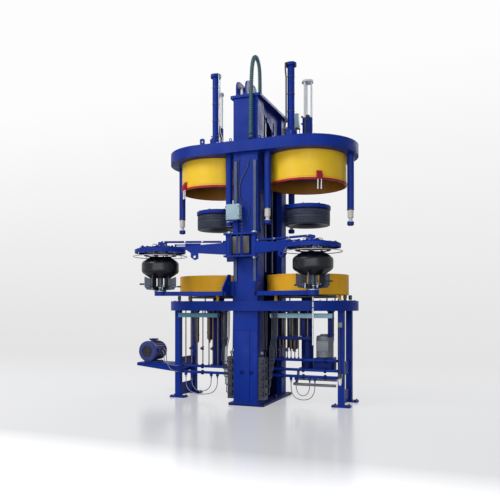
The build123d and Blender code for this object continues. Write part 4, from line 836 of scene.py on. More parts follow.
carriage_low, carriage_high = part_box("loader_carriage")
carriage_bits, carriage_dark = Form(), Form()
for side in (-1, 1):
    for z in (2.28, 2.45, 2.56):
        carriage_bits.hexagon((side * 0.168, -0.762, z), -Y, 0.011, 0.009)
for side in (-1, 1):
    pivot_pin(carriage_bits, side * PIVOT_X, PIVOT_Y, carriage_low.z, carriage_high.z)
carriage_bits.piece("carriage_pins_and_bolts", "loader_carriage", "steel")
for x in (-0.136, 0.028):
    carriage_dark.box((x - 0.014, -0.953, 2.256), (x + 0.014, -0.938, 2.57), 0.003)
carriage_dark.box((-0.205, -0.948, 2.165), (-0.09, -0.932, 2.232), 0.004)
carriage_dark.piece("carriage_front_posts", "loader_carriage", "deep_blue")
# Thin black sheets on the carriage front beside its posts: painted shade for the gaps there.
carriage_gap_shade = Form()
for low_x, high_x in ((-0.115, 0.008), (0.048, 0.15)):
    carriage_gap_shade.box((low_x, -0.9415, 2.285), (high_x, -0.9385, 2.54), 0.001)
carriage_gap_shade.piece("carriage_front_gap_shade", "loader_carriage", "black")

box_low, box_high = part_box("loader_junction_box")
box_parts, box_door = Form(), Form()
middle_y = (box_low.y + box_high.y) / 2
box_door.box((box_low.x + 0.008, box_low.y - 0.006, 2.806), (box_high.x - 0.008, box_low.y + 0.003,
    box_high.z - 0.01), 0.004)
box_door.piece("junction_box_door", "loader_carriage", "cyan")
for z in (2.85, box_high.z - 0.045):
    box_parts.rod((box_low.x + 0.004, box_low.y - 0.006, z - 0.016),
        (box_low.x + 0.004, box_low.y - 0.006, z + 0.016), 0.006, 12)
    box_parts.turned((box_high.x - 0.022, box_low.y - 0.005, z), -Y,
        [(0.009, 0), (0.009, 0.004), (0.0055, 0.006)], 16)
for step in range(4):
    z = box_low.z + 0.05 + step * 0.05
    box_parts.turned((box_high.x - 0.002, middle_y, z), X, [(0.0135, 0), (0.0135, 0.012), (0.011, 0.016),
        (0.011, 0.022), (0.0085, 0.03)], 6)
for step in range(3):
    x = box_low.x + 0.05 + step * 0.055
    box_parts.turned((x, middle_y, box_low.z + 0.002), -Z, stub(0.0135, 0, 0.01, 0.009, 0.016, 0.026), 6)
box_parts.piece("junction_box_glands", "loader_carriage", "black")
box_pipes = Form()
for step in range(3):
    x = box_low.x + 0.05 + step * 0.055
    box_pipes.tube([(x, middle_y, box_low.z - 0.02), (x, middle_y, box_low.z - 0.05 - 0.03 * step),
        (x * 0.5 - 0.02, middle_y + 0.04, box_low.z - 0.09 - 0.03 * step),
        (x * 0.4 - 0.03, middle_y + 0.05, 2.588)], 0.0065, 12, 0.03)
box_pipes.piece("junction_box_conduits", "loader_carriage", "hose")

for word, side in SIDES:
    body = f"loader_{word}"
    arm = Arm(PIVOT_X, PIVOT_Y, side, STAND_ANGLE)
    links, bright, bolts = Form(), Form(), Form()
    for across in (-0.036, 0.036):
        links.box((0.06, across - 0.005, 2.460), (ARM_LENGTH - 0.05, across + 0.005, 2.483), 0.003,
            arm.matrix)
    for along in (0.10, 0.40, 0.66, ARM_LENGTH - 0.06):
        bolts.rod(arm.at(along, -0.047, LINK_Z), arm.at(along, 0.047, LINK_Z), 0.008, 16)
        for out in (-1, 1):
            bolts.hexagon(arm.at(along, out * 0.041, LINK_Z), arm.way(90) * out, 0.0125, 0.008)
    links.turned(arm.at(0, 0, 2.459), Z, [(0.05, 0), (0.05, 0.01), (0.042, 0.018), (0.042, 0.04),
        (0.03, 0.046)], 36)
    links.box((0.0, -0.028, 2.462), (0.12, 0.028, 2.485), 0.004, arm.matrix)
    links.box((ARM_LENGTH - 0.1, -0.028, 2.405), (ARM_LENGTH - 0.02, 0.028, 2.485), 0.004, arm.matrix)
    links.turned(arm.at(ARM_LENGTH, 0, 2.407), Z, [(0.06, 0), (0.06, 0.01), (0.034, 0.018), (0.034, 0.06),
        (0.024, 0.066)], 36)
    along_way = arm.way(0)
    bright.turned(arm.at(0.2, 0, LINK_Z), along_way, [(0.012, 0), (0.013, 0.002), (0.0155, 0.006),
        (0.0155, 0.17), (0.013, 0.176), (0.012, 0.178)], 28)
    bright.rod(arm.at(0.37, 0, LINK_Z), arm.at(0.56, 0, LINK_Z), 0.0095, 18)
    bright.turned(arm.at(0.555, 0, LINK_Z), along_way, [(0.014, 0), (0.016, 0.003), (0.016, 0.045),
        (0.011, 0.052)], 6)
    bright.rod(arm.at(0.59, 0, LINK_Z), arm.at(0.67, 0, LINK_Z), 0.013, 18)
    links.piece(f"loader_links_{word}", body, "blue")
    bright.piece(f"loader_gripper_cylinder_{word}", body, "wire")

    ribs = Form()
    centre = arm.at(ARM_LENGTH, 0, 0)
    top = CHUCK_LOW + CHUCK_THICK
    for step in range(8):
        way = arm.way(22.5 + 45 * step)
        ribs.plate([(0.075, top - 0.001), (0.355, top - 0.001), (0.355, top + 0.009), (0.11, top + 0.058),
            (0.075, top + 0.058)], centre, way, Z, 0.010)
    ribs.torus(centre + Z * (top + 0.004), Z, CHUCK_R - 0.026, 0.008, 96, 8)
    ribs.piece(f"chuck_ribs_{word}", body, "blue")
    jaws, jaw_rods = Form(), Form()
    for step in range(4):
        way = arm.way(45 + 90 * step)
        cross = Z.cross(way)
        seat = centre + Z * (top + 0.03)
        jaws.turned(seat + way * 0.12, way, [(0.012, 0), (0.021, 0.003), (0.021, 0.022), (0.017, 0.024),
            (0.017, 0.10), (0.021, 0.102), (0.021, 0.12), (0.012, 0.124)], 20)
        jaw_rods.rod(seat + way * 0.24, seat + way * 0.31, 0.008, 14)
        for offset in (-0.026, 0.026):
            jaws.rod(seat + way * 0.10 + cross * offset - Z * 0.004,
                seat + way * 0.34 + cross * offset - Z * 0.004, 0.006, 12)
        jaws.hexagon(seat + way * 0.31 - Z * 0.03, Z, 0.022, 0.045)
        jaw_rods.tube([seat + way * 0.135 + Z * 0.018, seat + way * 0.135 + Z * 0.045,
            seat + way * 0.10 + Z * 0.055, seat + way * 0.055 + Z * 0.05], 0.005, 10, 0.02)
    jaws.piece(f"gripper_guides_{word}", body, "deep_blue")
    jaw_rods.piece(f"gripper_rods_{word}", body, "satin")
    bolt_circle(bolts, centre + Z * top, CHUCK_R - 0.05, 16, 0.0085, 0.007, 11.25)
    bolt_circle(bolts, centre + Z * (top + 0.056), 0.066, 8, 0.0075, 0.007, 22.5)
    bolts.piece(f"loader_bolts_{word}", body, "steel")

    ring, hangers = Form(), Form()
    ring.turned(centre + Z * 2.258, Z, [(0.205, 0), (0.238, 0), (0.243, 0.004), (0.243, 0.010),
        (0.238, 0.014), (0.205, 0.014)], 96, closed=True)
    for step in range(4):
        out = arm.way(90 * step)
        at = centre + out * 0.222
        hangers.rod(at + Z * 2.27, at + Z * 2.3255, 0.007, 14)
        hangers.hexagon(at + Z * 2.3255, -Z, 0.0125, 0.01)
        hangers.hexagon(at + Z * 2.2715, Z, 0.0125, 0.01)
    hoop = Form()
    hoop.torus(centre + Z * 2.25, Z, 0.400, 0.006, 128, 12)
    for step in range(4):
        out = arm.way(45 + 90 * step)
        at = centre + out * 0.372
        hoop.tube([at + Z * 2.3255, at + Z * 2.28, at + out * 0.028 + Z * 2.25], 0.0045, 10, 0.02)
    hoop.piece(f"tyre_hoop_{word}", body, "wire")
    ring.piece(f"tyre_stop_ring_{word}", body, "rust")
    hangers.piece(f"stop_ring_hangers_{word}", body, "dark", "machined_steel")


# Unloader: carriage pins, chuck ribs, link bars, gripper cylinders and bolts

UNLOAD_PIVOT_X, UNLOAD_PIVOT_Y = 0.3, 0.95
UNLOAD_LENGTH = hypot(CAVITY_X - UNLOAD_PIVOT_X, UNLOAD_PIVOT_Y)
UNLOAD_ANGLE = atan2(UNLOAD_PIVOT_Y, CAVITY_X - UNLOAD_PIVOT_X)
UNLOAD_LINK_Z, UNLOAD_TOP = 3.115, 3.066
unload_low, unload_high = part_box("unloader_carriage")
unload_bits = Form()
for side in (-1, 1):
    pivot_pin(unload_bits, side * UNLOAD_PIVOT_X, UNLOAD_PIVOT_Y, unload_low.z, unload_high.z)
unload_bits.piece("unloader_carriage_pins", "unloader_carriage", "steel")
for word, side in SIDES:
    body = f"unloader_{word}"
    arm = Arm(UNLOAD_PIVOT_X, UNLOAD_PIVOT_Y, side, UNLOAD_ANGLE)
    centre = arm.at(UNLOAD_LENGTH, 0, 0)
    ribs, bolts = Form(), Form()
    for step in range(8):
        turn = arm.matrix.to_3x3() @ Matrix.Rotation(radians(22.5 + 45 * step), 3, "Z")
        ribs.box((0.075, -0.006, UNLOAD_TOP - 0.001), (0.335, 0.006, UNLOAD_TOP + 0.024), 0.003,
            Matrix.Translation(centre) @ turn.to_4x4())
    ribs.torus(centre + Z * (UNLOAD_TOP + 0.004), Z, 0.336, 0.008, 96, 8)
    bolt_circle(bolts, centre + Z * UNLOAD_TOP, 0.315, 16, 0.0085, 0.007, 11.25)
    ribs.piece(f"unloader_ribs_{word}", body, "blue")
    links, bright = Form(), Form()
    for across in (-0.036, 0.036):
        links.box((0.08, across - 0.005, 3.104), (UNLOAD_LENGTH - 0.06, across + 0.005, 3.125), 0.003,
            arm.matrix)
    links.box((0.04, -0.031, 3.10), (0.12, 0.031, 3.128), 0.004, arm.matrix)
    links.box((UNLOAD_LENGTH - 0.12, -0.031, 3.108), (UNLOAD_LENGTH - 0.03, 0.031, 3.128), 0.004,
        arm.matrix)
    for along in (0.10, 0.62, UNLOAD_LENGTH - 0.08):
        bolts.rod(arm.at(along, -0.047, UNLOAD_LINK_Z), arm.at(along, 0.047, UNLOAD_LINK_Z), 0.008, 16)
    bright.rod(arm.at(0.12, 0, UNLOAD_LINK_Z), arm.at(0.62, 0, UNLOAD_LINK_Z), 0.0095, 18)
    bright.turned(arm.at(0.3, 0, UNLOAD_LINK_Z), arm.way(0), band(0.009, 0.013, 0.004, 0.204), 28)
    links.piece(f"unloader_links_{word}", body, "blue")
    bright.piece(f"unloader_gripper_cylinder_{word}", body, "chrome")
    bolts.piece(f"unloader_bolts_{word}", body, "steel")


# Tyres: the cured ones with a moulded tread, the green ones with the joint lines of their plies

CURED_R, CURED_WIDTH, CURED_BORE_R, CURED_Z = 0.352, 0.236, 0.190, 2.887
GROOVES = ((-0.064, 0.0045), (-0.022, 0.005), (0.022, 0.005), (0.064, 0.0045))
GROOVE_DEPTH, GROOVE_EDGE = 0.008, 0.0022
TREAD_PITCHES = 64


def smooth(share):
    share = max(0.0, min(1.0, share))
    return share * share * (3 - 2 * share)


def tyre_outline(crown_r, half, bore_r, rim_half, shoulder):
    """Outer side of a tyre's section from its lower bead to its upper one, as (radius, height)."""
    wall = []
    for step in range(13):
        share = step / 12
        height = -rim_half - (half - rim_half) * sin(pi * min(share * 1.15, 1) / 2)
        wall.append((bore_r + (crown_r - shoulder - bore_r) * share, height))
    edge_z, crown = wall[-1][1], []
    for step in range(1, 6):
        turn = pi / 2 * step / 6
        crown.append((crown_r - shoulder + shoulder * sin(turn), edge_z + shoulder * (1 - cos(turn)) * 0.9))
    low = crown[-1][1]
    across = 57
    tread = [(crown_r - 0.006 * (2 * step / (across - 1) - 1) ** 4, low * (1 - 2 * step / (across - 1)))
        for step in range(across)]
    mirror = [(radius, -height) for radius, height in reversed(wall + crown)]
    return wall + crown, tread, mirror


def tread_drop(height, angle, crown_half):
    """How deep the pattern is cut at a height across the tread and an angle round it."""
    drop = 0.0
    for middle, half_width in GROOVES:
        edge = (half_width + GROOVE_EDGE - abs(height - middle)) / GROOVE_EDGE
        drop = max(drop, GROOVE_DEPTH * smooth(edge))
    pitch = 2 * pi / TREAD_PITCHES
    if abs(height) > 0.068:
        lean, width, depth = 0.25, 0.2, 0.007
    elif abs(height) > 0.026:
        lean, width, depth = -0.9, 0.14, 0.006
    else:
        lean, width, depth = 1.3, 0.08, 0.0035
    phase = (angle + lean * pitch * (abs(height) / 0.04)) / pitch % 1
    cut = smooth((width - abs(phase - 0.5)) / 0.06) * depth
    if abs(height) <= crown_half:
        drop = max(drop, cut)
    return drop


def patterned_tyre(name, body, centre, shade):
    """A closed tyre: side walls with rings, a cut tread and an open inside between its beads."""
    wall, tread, mirror = tyre_outline(CURED_R, CURED_WIDTH / 2, CURED_BORE_R, 0.07, 0.018)
    inner = [(radius - 0.012 if radius > CURED_BORE_R + 0.03 else radius, height * 0.88)
        for radius, height in reversed(wall + [tread[0], tread[len(tread) // 2], tread[-1]] + mirror)]
    inner = [(max(radius, CURED_BORE_R + 0.004), height) for radius, height in inner]
    profile = wall + tread + mirror + inner
    form = Form()
    sides = TREAD_PITCHES * 8
    first_tread, last_tread = len(wall), len(wall) + len(tread)
    rings = []
    for index, (radius, height) in enumerate(profile):
        ring = []
        for step in range(sides):
            angle = 2 * pi * step / sides
            depth = 0.0
            if first_tread <= index < last_tread:
                depth = tread_drop(height, angle, 0.1)
            elif index in (5, 6, last_tread + 10, last_tread + 11):
                depth = -0.0015
            ring.append(form.mesh.verts.new(centre + Vector(((radius - depth) * cos(angle),
                (radius - depth) * sin(angle), height))))
        rings.append(ring)
    for lower, upper in zip(rings, rings[1:] + rings[:1]):
        form.bridge(lower, upper)
    return form.piece(name, body, shade, "tyre_rubber", 42)


for word, side in SIDES:
    made = patterned_tyre(f"cured_tyre_tread_{word}", f"unloader_{word}",
        Vector((side * CAVITY_X, 0, CURED_Z)), "cured")
    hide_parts(f"cured_tyre_{word}")
    lines = Form()
    low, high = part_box(f"green_tyre_{word}")
    centre = (low + high) / 2
    for offset in (-0.052, 0.052):
        lines.torus((centre.x, centre.y, centre.z + offset), Z, (high.x - low.x) / 2 - 0.0008, 0.0022, 96,
            8)
    lines.piece(f"green_tyre_lines_{word}", "root", "uncured")


# Stands: metal rings, side rods and handles

STAND_Z = 1.80
stand_metal, stand_dark = Form(), Form()
for word, side in SIDES:
    low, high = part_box(f"green_tyre_{word}")
    x, y = (low.x + high.x) / 2, (low.y + high.y) / 2
    stand_metal.turned((x, y, 1.7255), Z, [(0.092, 0), (0.092, 0.012), (0.078, 0.018), (0.066, 0.02)], 48)
    bolt_circle(stand_metal, (x, y, 1.7375), 0.082, 8, 0.0065, 0.006, 22.5)
    stand_metal.turned((x, y, 1.7725), Z, band(0.0625, 0.07, 0.003, 0.02), 48)
    out = Vector((side * 0.948, -0.318, 0))
    start = Vector((x, y, 1.84)) + out * 0.08
    stand_metal.rod(start, start + out * 0.17, 0.0085, 16)
    stand_dark.rod(start + out * 0.165, start + out * 0.235, 0.013, 18)
    for step in range(4):
        at, way = around(x, y, 0.15, 45 + 90 * step)
        at += Z * STAND_Z
        stand_metal.rod(at - way * 0.03, at + way * 0.055, 0.011, 16)
        stand_metal.turned(at - way * 0.005, way, band(0.016, 0.019, 0.002, 0.022), 6)
        stand_metal.box(Vector((-0.012, -0.012, -0.05)), Vector((0.012, 0.012, 0.02)), 0.003,
            Matrix.Translation(at - way * 0.028))
    far = Vector((x, y, STAND_Z)) - out * 0.17
    stand_metal.rod(far, far - out * 0.10, 0.0085, 16)
    stand_dark.rod(far - out * 0.085, far - out * 0.14, 0.012, 18)
    for step in range(4):
        at, out = around(x, y, 0.084, 20 + 90 * step)
        stand_metal.rod(at + Z * 1.737, at + Z * 1.772, 0.007, 12)
stand_metal.piece("stand_collars", "root", "satin")
stand_dark.piece("stand_handles", "root", "black")


# Platform: dome foot bolts, buffers, steam pipes and the mechanisms under it

PLATE_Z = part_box("base_platform")[1].z
UNDERSIDE_Z = 1.437
foot_bolts, buffers, steam = Form(), Form(), Form()
for word, side in SIDES:
    for step in range(3):
        at, out = around(side * CAVITY_X, 0, 0.56, (-67 if side < 0 else -134) + 120 * step)
        foot_bolts.turned(at + Z * PLATE_Z, Z, [(0.046, 0), (0.046, 0.006), (0.034, 0.012)], 32)
        bolt_circle(foot_bolts, at + Z * (PLATE_Z + 0.005), 0.04, 4, 0.0062, 0.006, 45)
    bolt_circle(foot_bolts, (side * CAVITY_X, 0, PLATE_Z), 0.74, 9, 0.013, 0.012, -60 if side > 0 else 120,
        135)
    for y in (-0.19, 0.19):
        at = Vector((side * 1.405, y, PLATE_Z))
        buffers.turned(at, Z, [(0.034, 0), (0.034, 0.01), (0.021, 0.014), (0.021, 0.03), (0.028, 0.034),
            (0.028, 0.082), (0.022, 0.092)], 28)
    ring_at = Vector((side * CAVITY_X, 0, 1.652))
    steam.torus(ring_at, Z, 0.46, 0.013, 96, 12)
    for angle in (-145, -35, 35, 145):
        at, out = around(side * CAVITY_X, 0, 0.46, angle)
        steam.rod(at + Z * 1.655, at + Z * 1.6805, 0.011, 14)
        steam.rod(at + Z * 1.586, at + Z * 1.65, 0.011, 14)
foot_bolts.piece("platform_bolts", "root", "steel")
buffers.piece("platform_buffers", "root", "black", "hose_rubber")
steam.piece("steam_rings", "root", "grey")

vessels, vessel_bands, under_pipes, valve_bodies, valve_caps = Form(), Form(), Form(), Form(), Form()
for word, side in SIDES:
    for x, y, radius, low, high in ((0.56, -0.24, 0.05, 0.86, UNDERSIDE_Z),
            (0.47, 0.28, 0.062, 0.80, UNDERSIDE_Z), (1.07, 0.30, 0.05, 0.92, UNDERSIDE_Z),
            (1.06 if side < 0 else 0.44, -0.24, 0.045, 0.90, UNDERSIDE_Z)):
        at = Vector((side * x, y, 0))
        vessels.turned(at + Z * low, Z, [(0.012, 0), (radius * 0.7, 0.006), (radius, 0.03),
            (radius, high - low - 0.02), (radius * 1.25, high - low - 0.02), (radius * 1.25, high - low)],
            36)
        for height in (low + 0.12, high - 0.14):
            vessel_bands.turned(at + Z * height, Z, band(radius + 0.0005, radius + 0.004, 0.002, 0.024), 36)
        vessel_bands.turned(at + Z * (low + 0.004), -Z, stub(0.014, 0, 0.018, 0.009, 0.022, 0.05), 6)
    bolt_circle(vessel_bands, (side * CAVITY_X, 0, 0.50), 0.08, 6, 0.009, 0.008, 0, axis=-Z)
vessels.piece("accumulators", "root", "dark")
vessel_bands.piece("accumulator_bands", "root", "black")

HEADER_Y, HEADER_R = -0.33, 0.022
HEADER_ZS = {"left": (0.535, 0.435), "right": (0.69, 0.54, 0.44)}
FLANGE_XS = {"left": (0.45, 0.92), "right": (0.45, 0.78, 1.12)}
RISER_XS = {"left": (0.63, 0.72, 0.79, 0.90, 1.00, 1.10, 1.21),
    "right": (0.36, 0.42, 0.48, 0.54, 0.60, 0.66, 0.72)}
FLANGE_R, FLANGE_BOLTS_R = 0.038, 0.030
flanges = Form()
for word, side in SIDES:
    for level in HEADER_ZS[word]:
        for x in FLANGE_XS[word]:
            base = Vector((side * x, HEADER_Y, level))
            flanges.turned(base, X, [(HEADER_R + 0.0005, 0), (FLANGE_R, 0.001), (FLANGE_R, 0.012),
                (0.0365, 0.013), (0.0365, 0.015), (FLANGE_R, 0.016), (FLANGE_R, 0.027),
                (HEADER_R + 0.0005, 0.028)], 32)
            for step in range(4):
                turn = radians(45 + 90 * step)
                flanges.rod(base + Vector((-0.006, FLANGE_BOLTS_R * cos(turn), FLANGE_BOLTS_R * sin(turn))),
                    base + Vector((0.034, FLANGE_BOLTS_R * cos(turn), FLANGE_BOLTS_R * sin(turn))), 0.004,
                    8)
    high = max(HEADER_ZS[word])
    for index, x in enumerate(RISER_XS[word]):
        radius = 0.0095 if side < 0 else 0.0075
        start = Vector((side * x, HEADER_Y, high + HEADER_R - 0.003))
        stop = UNDERSIDE_Z if side < 0 else 0.996
        under_pipes.tube([start, start + Z * 0.2, Vector((start.x, HEADER_Y, stop - 0.1)),
            Vector((start.x, HEADER_Y, stop))], radius, 12)
        valve_bodies.turned(start + Z * 0.001, Z, [(radius + 0.001, 0), (0.015, 0.003), (0.015, 0.018),
            (radius + 0.001, 0.022)], 6)
        if index % 2:
            at = start + Z * (0.24 if side < 0 else 0.10)
            valve_bodies.turned(at, Z, [(0.010, 0), (0.019, 0.004), (0.019, 0.016), (0.013, 0.02),
                (0.02, 0.03), (0.013, 0.044), (0.019, 0.048), (0.019, 0.06), (0.010, 0.064)], 8)
            valve_bodies.rod(at + Z * 0.031, at + Vector((0, -0.04, 0.031)), 0.007, 14)
            valve_caps.turned(at + Vector((0, -0.036, 0.031)), -Y,
                [(0.008, 0), (0.021, 0.003), (0.021, 0.02), (0.015, 0.026), (0.009, 0.03)], 24)
for x in (0.38, 0.50, 0.62, 0.74, 0.86):
    under_pipes.rod((x, HEADER_Y, 1.04), (x, HEADER_Y, UNDERSIDE_Z), 0.009, 14)
flanges.piece("header_flanges", "root", "deep_blue", "machined_steel")
under_pipes.piece("riser_pipes", "root", "copper")
valve_bodies.piece("riser_valves", "root", "dark", "alloy_valves")

# Valve blocks beside the column: coils, plugs, a gauge and pipes up to the platform

COIL_LOW_Z, COIL_PITCH = 0.184, 0.118
coils, gauges, gauge_faces, plugs, block_pipes = Form(), Form(), Form(), Form(), Form()
for word, side in SIDES:
    middle = side * 0.249
    for step in range(5):
        level = COIL_LOW_Z + COIL_PITCH * step
        coils.box((middle - 0.026, -0.722, level + 0.0315), (middle + 0.026, -0.694, level + 0.050), 0.003)
        coils.turned((middle, -0.7495, level), -Y, [(0.011, -0.001), (0.011, 0.008), (0.008, 0.011)], 16)
        for x in (-0.042, 0.042):
            plugs.turned((middle + x, -0.690, level + 0.058), -Y,
                [(0.010, -0.002), (0.010, 0.009), (0.006, 0.011)], 6)
            plugs.hexagon((middle + x * 0.55, -0.728, level - 0.022), -Y, 0.005, 0.004)
        out = 0.350 + 0.020 * step
        block_pipes.tube([(side * 0.328, -0.625, level), (side * out, -0.625, level),
            (side * out, -0.618, level + 0.05), (side * out, -0.60, 0.86), (side * out, -0.52, 1.02),
            (side * out, -0.50, UNDERSIDE_Z)], 0.0065, 12, 0.03)
    at = Vector((middle, -0.655, 0.74))
    gauges.rod(at - Z * 0.002, at + Z * 0.04, 0.006, 12)
    gauges.turned(at + Vector((0, 0.014, 0.062)), -Y, [(0.024, 0), (0.026, 0.003), (0.026, 0.024),
        (0.024, 0.028), (0.022, 0.026), (0.022, 0.023)], 40)
    gauge_faces.turned(at + Vector((0, -0.0085, 0.062)), -Y, [(0.0215, 0), (0.0215, 0.0012)], 40)
    for step in range(3):
        block_pipes.tube([(middle - 0.03 + 0.03 * step, -0.60, 0.739),
            (middle - 0.03 + 0.03 * step, -0.60, 0.80), (middle - 0.03 + 0.03 * step, -0.54, 0.84),
            (middle - 0.03 + 0.03 * step, -0.52, UNDERSIDE_Z)], 0.0075, 12, 0.03)
coils.piece("valve_coils", "root", "black", "alloy_valves")
gauges.piece("pressure_gauges", "root", "dark", "machined_steel")
plugs.piece("valve_plugs", "root", "dark", "conduit_plastic")
gauge_faces.piece("gauge_faces", "root", "grey", "conduit_plastic")
block_pipes.piece("block_pipes", "root", "dark", "machined_steel")
valve_caps.piece("valve_actuators", "root", "black", "red_lip")

nipples = Form()
for route in HOSE_ROUTES:
    for end, inner in ((route[0], route[1]), (route[-1], route[-2])):
        way = (Vector(inner) - Vector(end)).normalized()
        nipples.turned(Vector(end) - way * 0.002, way, [(0.009, -0.004), (0.0135, 0), (0.0135, 0.012),
            (0.0105, 0.014), (0.0105, 0.034), (0.0085, 0.038)], 6)
nipples.piece("hose_fittings", "root", "dark", "alloy_valves")

# Cable troughs: covers and clips
for (word, side), (inner, outer), shade in zip(SIDES, ((-1.280, -0.577), (0.302, 1.280)),
        ("teal", "pale_cyan")):
    covers, clips = Form(), Form()
    covers.box((inner + 0.004, -0.4695, 1.332), (outer - 0.004, -0.4645, 1.396), 0.0012)
    covers.box((inner + 0.004, -0.4695, 1.329), (outer - 0.004, -0.375, 1.333), 0.0008)
    covers.box((inner + 0.004, -0.466, 1.3965), (outer - 0.004, -0.374, 1.399), 0.0008)
    for step in range(6):
        x = inner + (outer - inner) * (step + 0.5) / 6
        clips.box((x - 0.009, -0.4735, 1.35), (x + 0.009, -0.469, 1.40), 0.0015)
        clips.turned((x, -0.4735, 1.376), -Y, [(0.006, 0), (0.006, 0.003), (0.004, 0.0045)], 12)
    covers.piece(f"trough_cover_{word}", "root", shade, "pale_blue_paint")
    clips.piece(f"trough_clips_{word}", "root", shade, "pale_blue_paint")

# Motor: grille in its front, terminal box, eye bolt and feet bolts

MOTOR_X, MOTOR_Z, MOTOR_R, MOTOR_FRONT = -2.01, 0.737, 0.165, -0.22
motor_parts, motor_dark, grille = Form(), Form(), Form()
MOTOR_TOP = MOTOR_Z + MOTOR_R


def on_motor(radius, angle, y):
    """A point in front of the motor, on a circle round its axis."""
    return (MOTOR_X + radius * cos(radians(angle)), y, MOTOR_Z + radius * sin(radians(angle)))


motor_parts.box((MOTOR_X - 0.055, -0.07, MOTOR_TOP + 0.02), (MOTOR_X + 0.055, 0.06, MOTOR_TOP + 0.045),
    0.006)
motor_parts.torus((MOTOR_X, 0.115, MOTOR_TOP + 0.016), Y, 0.019, 0.0065, 28)
motor_parts.piece("motor_terminal_box", "root", "deep_blue")
for x in (-0.042, 0.042):
    for y in (-0.057, 0.047):
        motor_dark.hexagon((MOTOR_X + x, y, MOTOR_TOP + 0.0445), Z, 0.007, 0.005)
grille.turned((MOTOR_X, MOTOR_FRONT + 0.019, MOTOR_Z), -Y, [(0.0965, 0), (0.0965, 0.003), (0.03, 0.004)],
    48)
grille.piece("motor_eye", "root", "black", "dark_steel")
for radius in (0.036, 0.058, 0.08):
    motor_dark.torus((MOTOR_X, MOTOR_FRONT + 0.008, MOTOR_Z), Y, radius, 0.0028, 48, 8)
for step in range(8):
    turn, face = 45 * step + 22.5, MOTOR_FRONT + 0.0085
    motor_dark.rod(on_motor(0.02, turn, face), on_motor(0.097, turn, face), 0.0028, 8)
for step in range(6):
    motor_dark.hexagon(on_motor(0.137, 60 * step + 30, MOTOR_FRONT), -Y, 0.008, 0.006)
for x in (-0.098, 0.098):
    for y in (-0.1, 0.1):
        motor_dark.hexagon((MOTOR_X + x, y, 0.566), Z, 0.011, 0.009)
motor_dark.piece("motor_grille_and_bolts", "root", "dark")

# Right leg: filter with a white bowl, gauge, coil box and pipe

leg_face_y = -0.3275
leg_parts, leg_white, leg_dark = Form(), Form(), Form()
x = 1.37
leg_parts.box((x - 0.035, leg_face_y - 0.012, 0.425), (x + 0.035, leg_face_y + 0.0005, 0.50), 0.003)
leg_parts.box((x - 0.026, leg_face_y - 0.064, 0.442), (x + 0.026, leg_face_y - 0.011, 0.482), 0.005)
leg_white.turned((x, leg_face_y - 0.038, 0.443), -Z, [(0.024, 0), (0.027, 0.006), (0.027, 0.085),
    (0.02, 0.108), (0.008, 0.116)], 32)
leg_dark.turned((x, leg_face_y - 0.063, 0.462), -Y, [(0.0235, 0), (0.025, 0.002), (0.025, 0.018),
    (0.022, 0.021)], 32)
leg_dark.turned((x, leg_face_y - 0.038, 0.481), Z, [(0.016, 0), (0.016, 0.01), (0.021, 0.014),
    (0.021, 0.03), (0.014, 0.036)], 24)
leg_parts.box((x - 0.03, leg_face_y - 0.05, 1.19), (x + 0.03, leg_face_y + 0.0005, 1.265), 0.004)
leg_dark.tube([(x - 0.012, leg_face_y - 0.03, 1.192), (x - 0.012, leg_face_y - 0.03, 1.1),
    (x - 0.012, leg_face_y - 0.014, 0.98), (x - 0.012, leg_face_y - 0.014, 0.60),
    (x, leg_face_y - 0.038, 0.54), (x, leg_face_y - 0.038, 0.51)], 0.008, 14, 0.04)
leg_parts.piece("leg_air_unit", "root", "grey", "alloy_valves")
leg_white.piece("filter_bowl", "root", "white")
leg_dark.piece("leg_gauge_and_pipe", "root", "black")

feet = Form()
for x in (-1.37, 1.37):
    for y in (-0.28, 0.28):
        for along in (-0.105, 0.105):
            for across in (-0.055, 0.055):
                feet.hexagon((x + along, y + across, 0.025), Z, 0.016, 0.014)
feet.piece("foot_bolts", "root", "dark", "machined_steel")

# Drive unit, low pipes, uprights and marker rod under the right half of the platform

FIN_PITCH, FIN_ROOT_R, FIN_R = 0.032, 0.128, 0.136
drive, drive_block, low_pipes = Form(), Form(), Form()
profile = [(0.10, 0), (FIN_ROOT_R, 0.01)]
for step in range(9):
    profile += [(FIN_ROOT_R, 0.02 + FIN_PITCH * step), (FIN_R, 0.022 + FIN_PITCH * step),
        (FIN_R, 0.038 + FIN_PITCH * step), (FIN_ROOT_R, 0.04 + FIN_PITCH * step)]
drive.turned((1.08, -0.13, 0.72), Z, profile + [(FIN_ROOT_R, 0.33), (0.07, 0.345), (0.07, 0.36)], 40)
drive.box((0.99, -0.275, 0.82), (1.17, -0.25, 0.98), 0.006)
drive.piece("drive_unit", "root", "grey", "alloy_valves")
drive_block.box((0.94, -0.285, 0.515), (1.225, 0.03, 0.722), 0.01)
drive_block.box((0.72, -0.30, 1.05), (0.80, -0.25, UNDERSIDE_Z), 0.006)
drive_block.box((1.165, -0.30, 1.04), (1.235, -0.25, UNDERSIDE_Z), 0.006)
drive_block.box((0.33, -0.36, 0.995), (0.91, -0.30, 1.045), 0.006)
drive_block.piece("drive_block", "root", "deep_blue")
for y, level in ((-0.20, 0.30), (-0.14, 0.38)):
    low_pipes.tube([(1.27, y, level), (0.60, y, level), (0.60, y + 0.18, level),
        (0.60, y + 0.20, level + 0.12)], 0.022, 18, 0.06)
low_pipes.piece("low_pipes", "root", "grey")
white_rod, rod_clips = Form(), Form()
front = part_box("base_platform")[0].y
white_rod.rod((1.079, front - 0.022, 0.95), (1.079, front - 0.022, 1.64), 0.012, 16)
white_rod.piece("marker_rod", "root", "white")
for level in (1.48, 1.57):
    rod_clips.box((1.062, front - 0.038, level), (1.096, front + 0.001, level + 0.014), 0.003)
rod_clips.piece("marker_rod_clips", "root", "dark")


# Floor, backdrop, light and camera

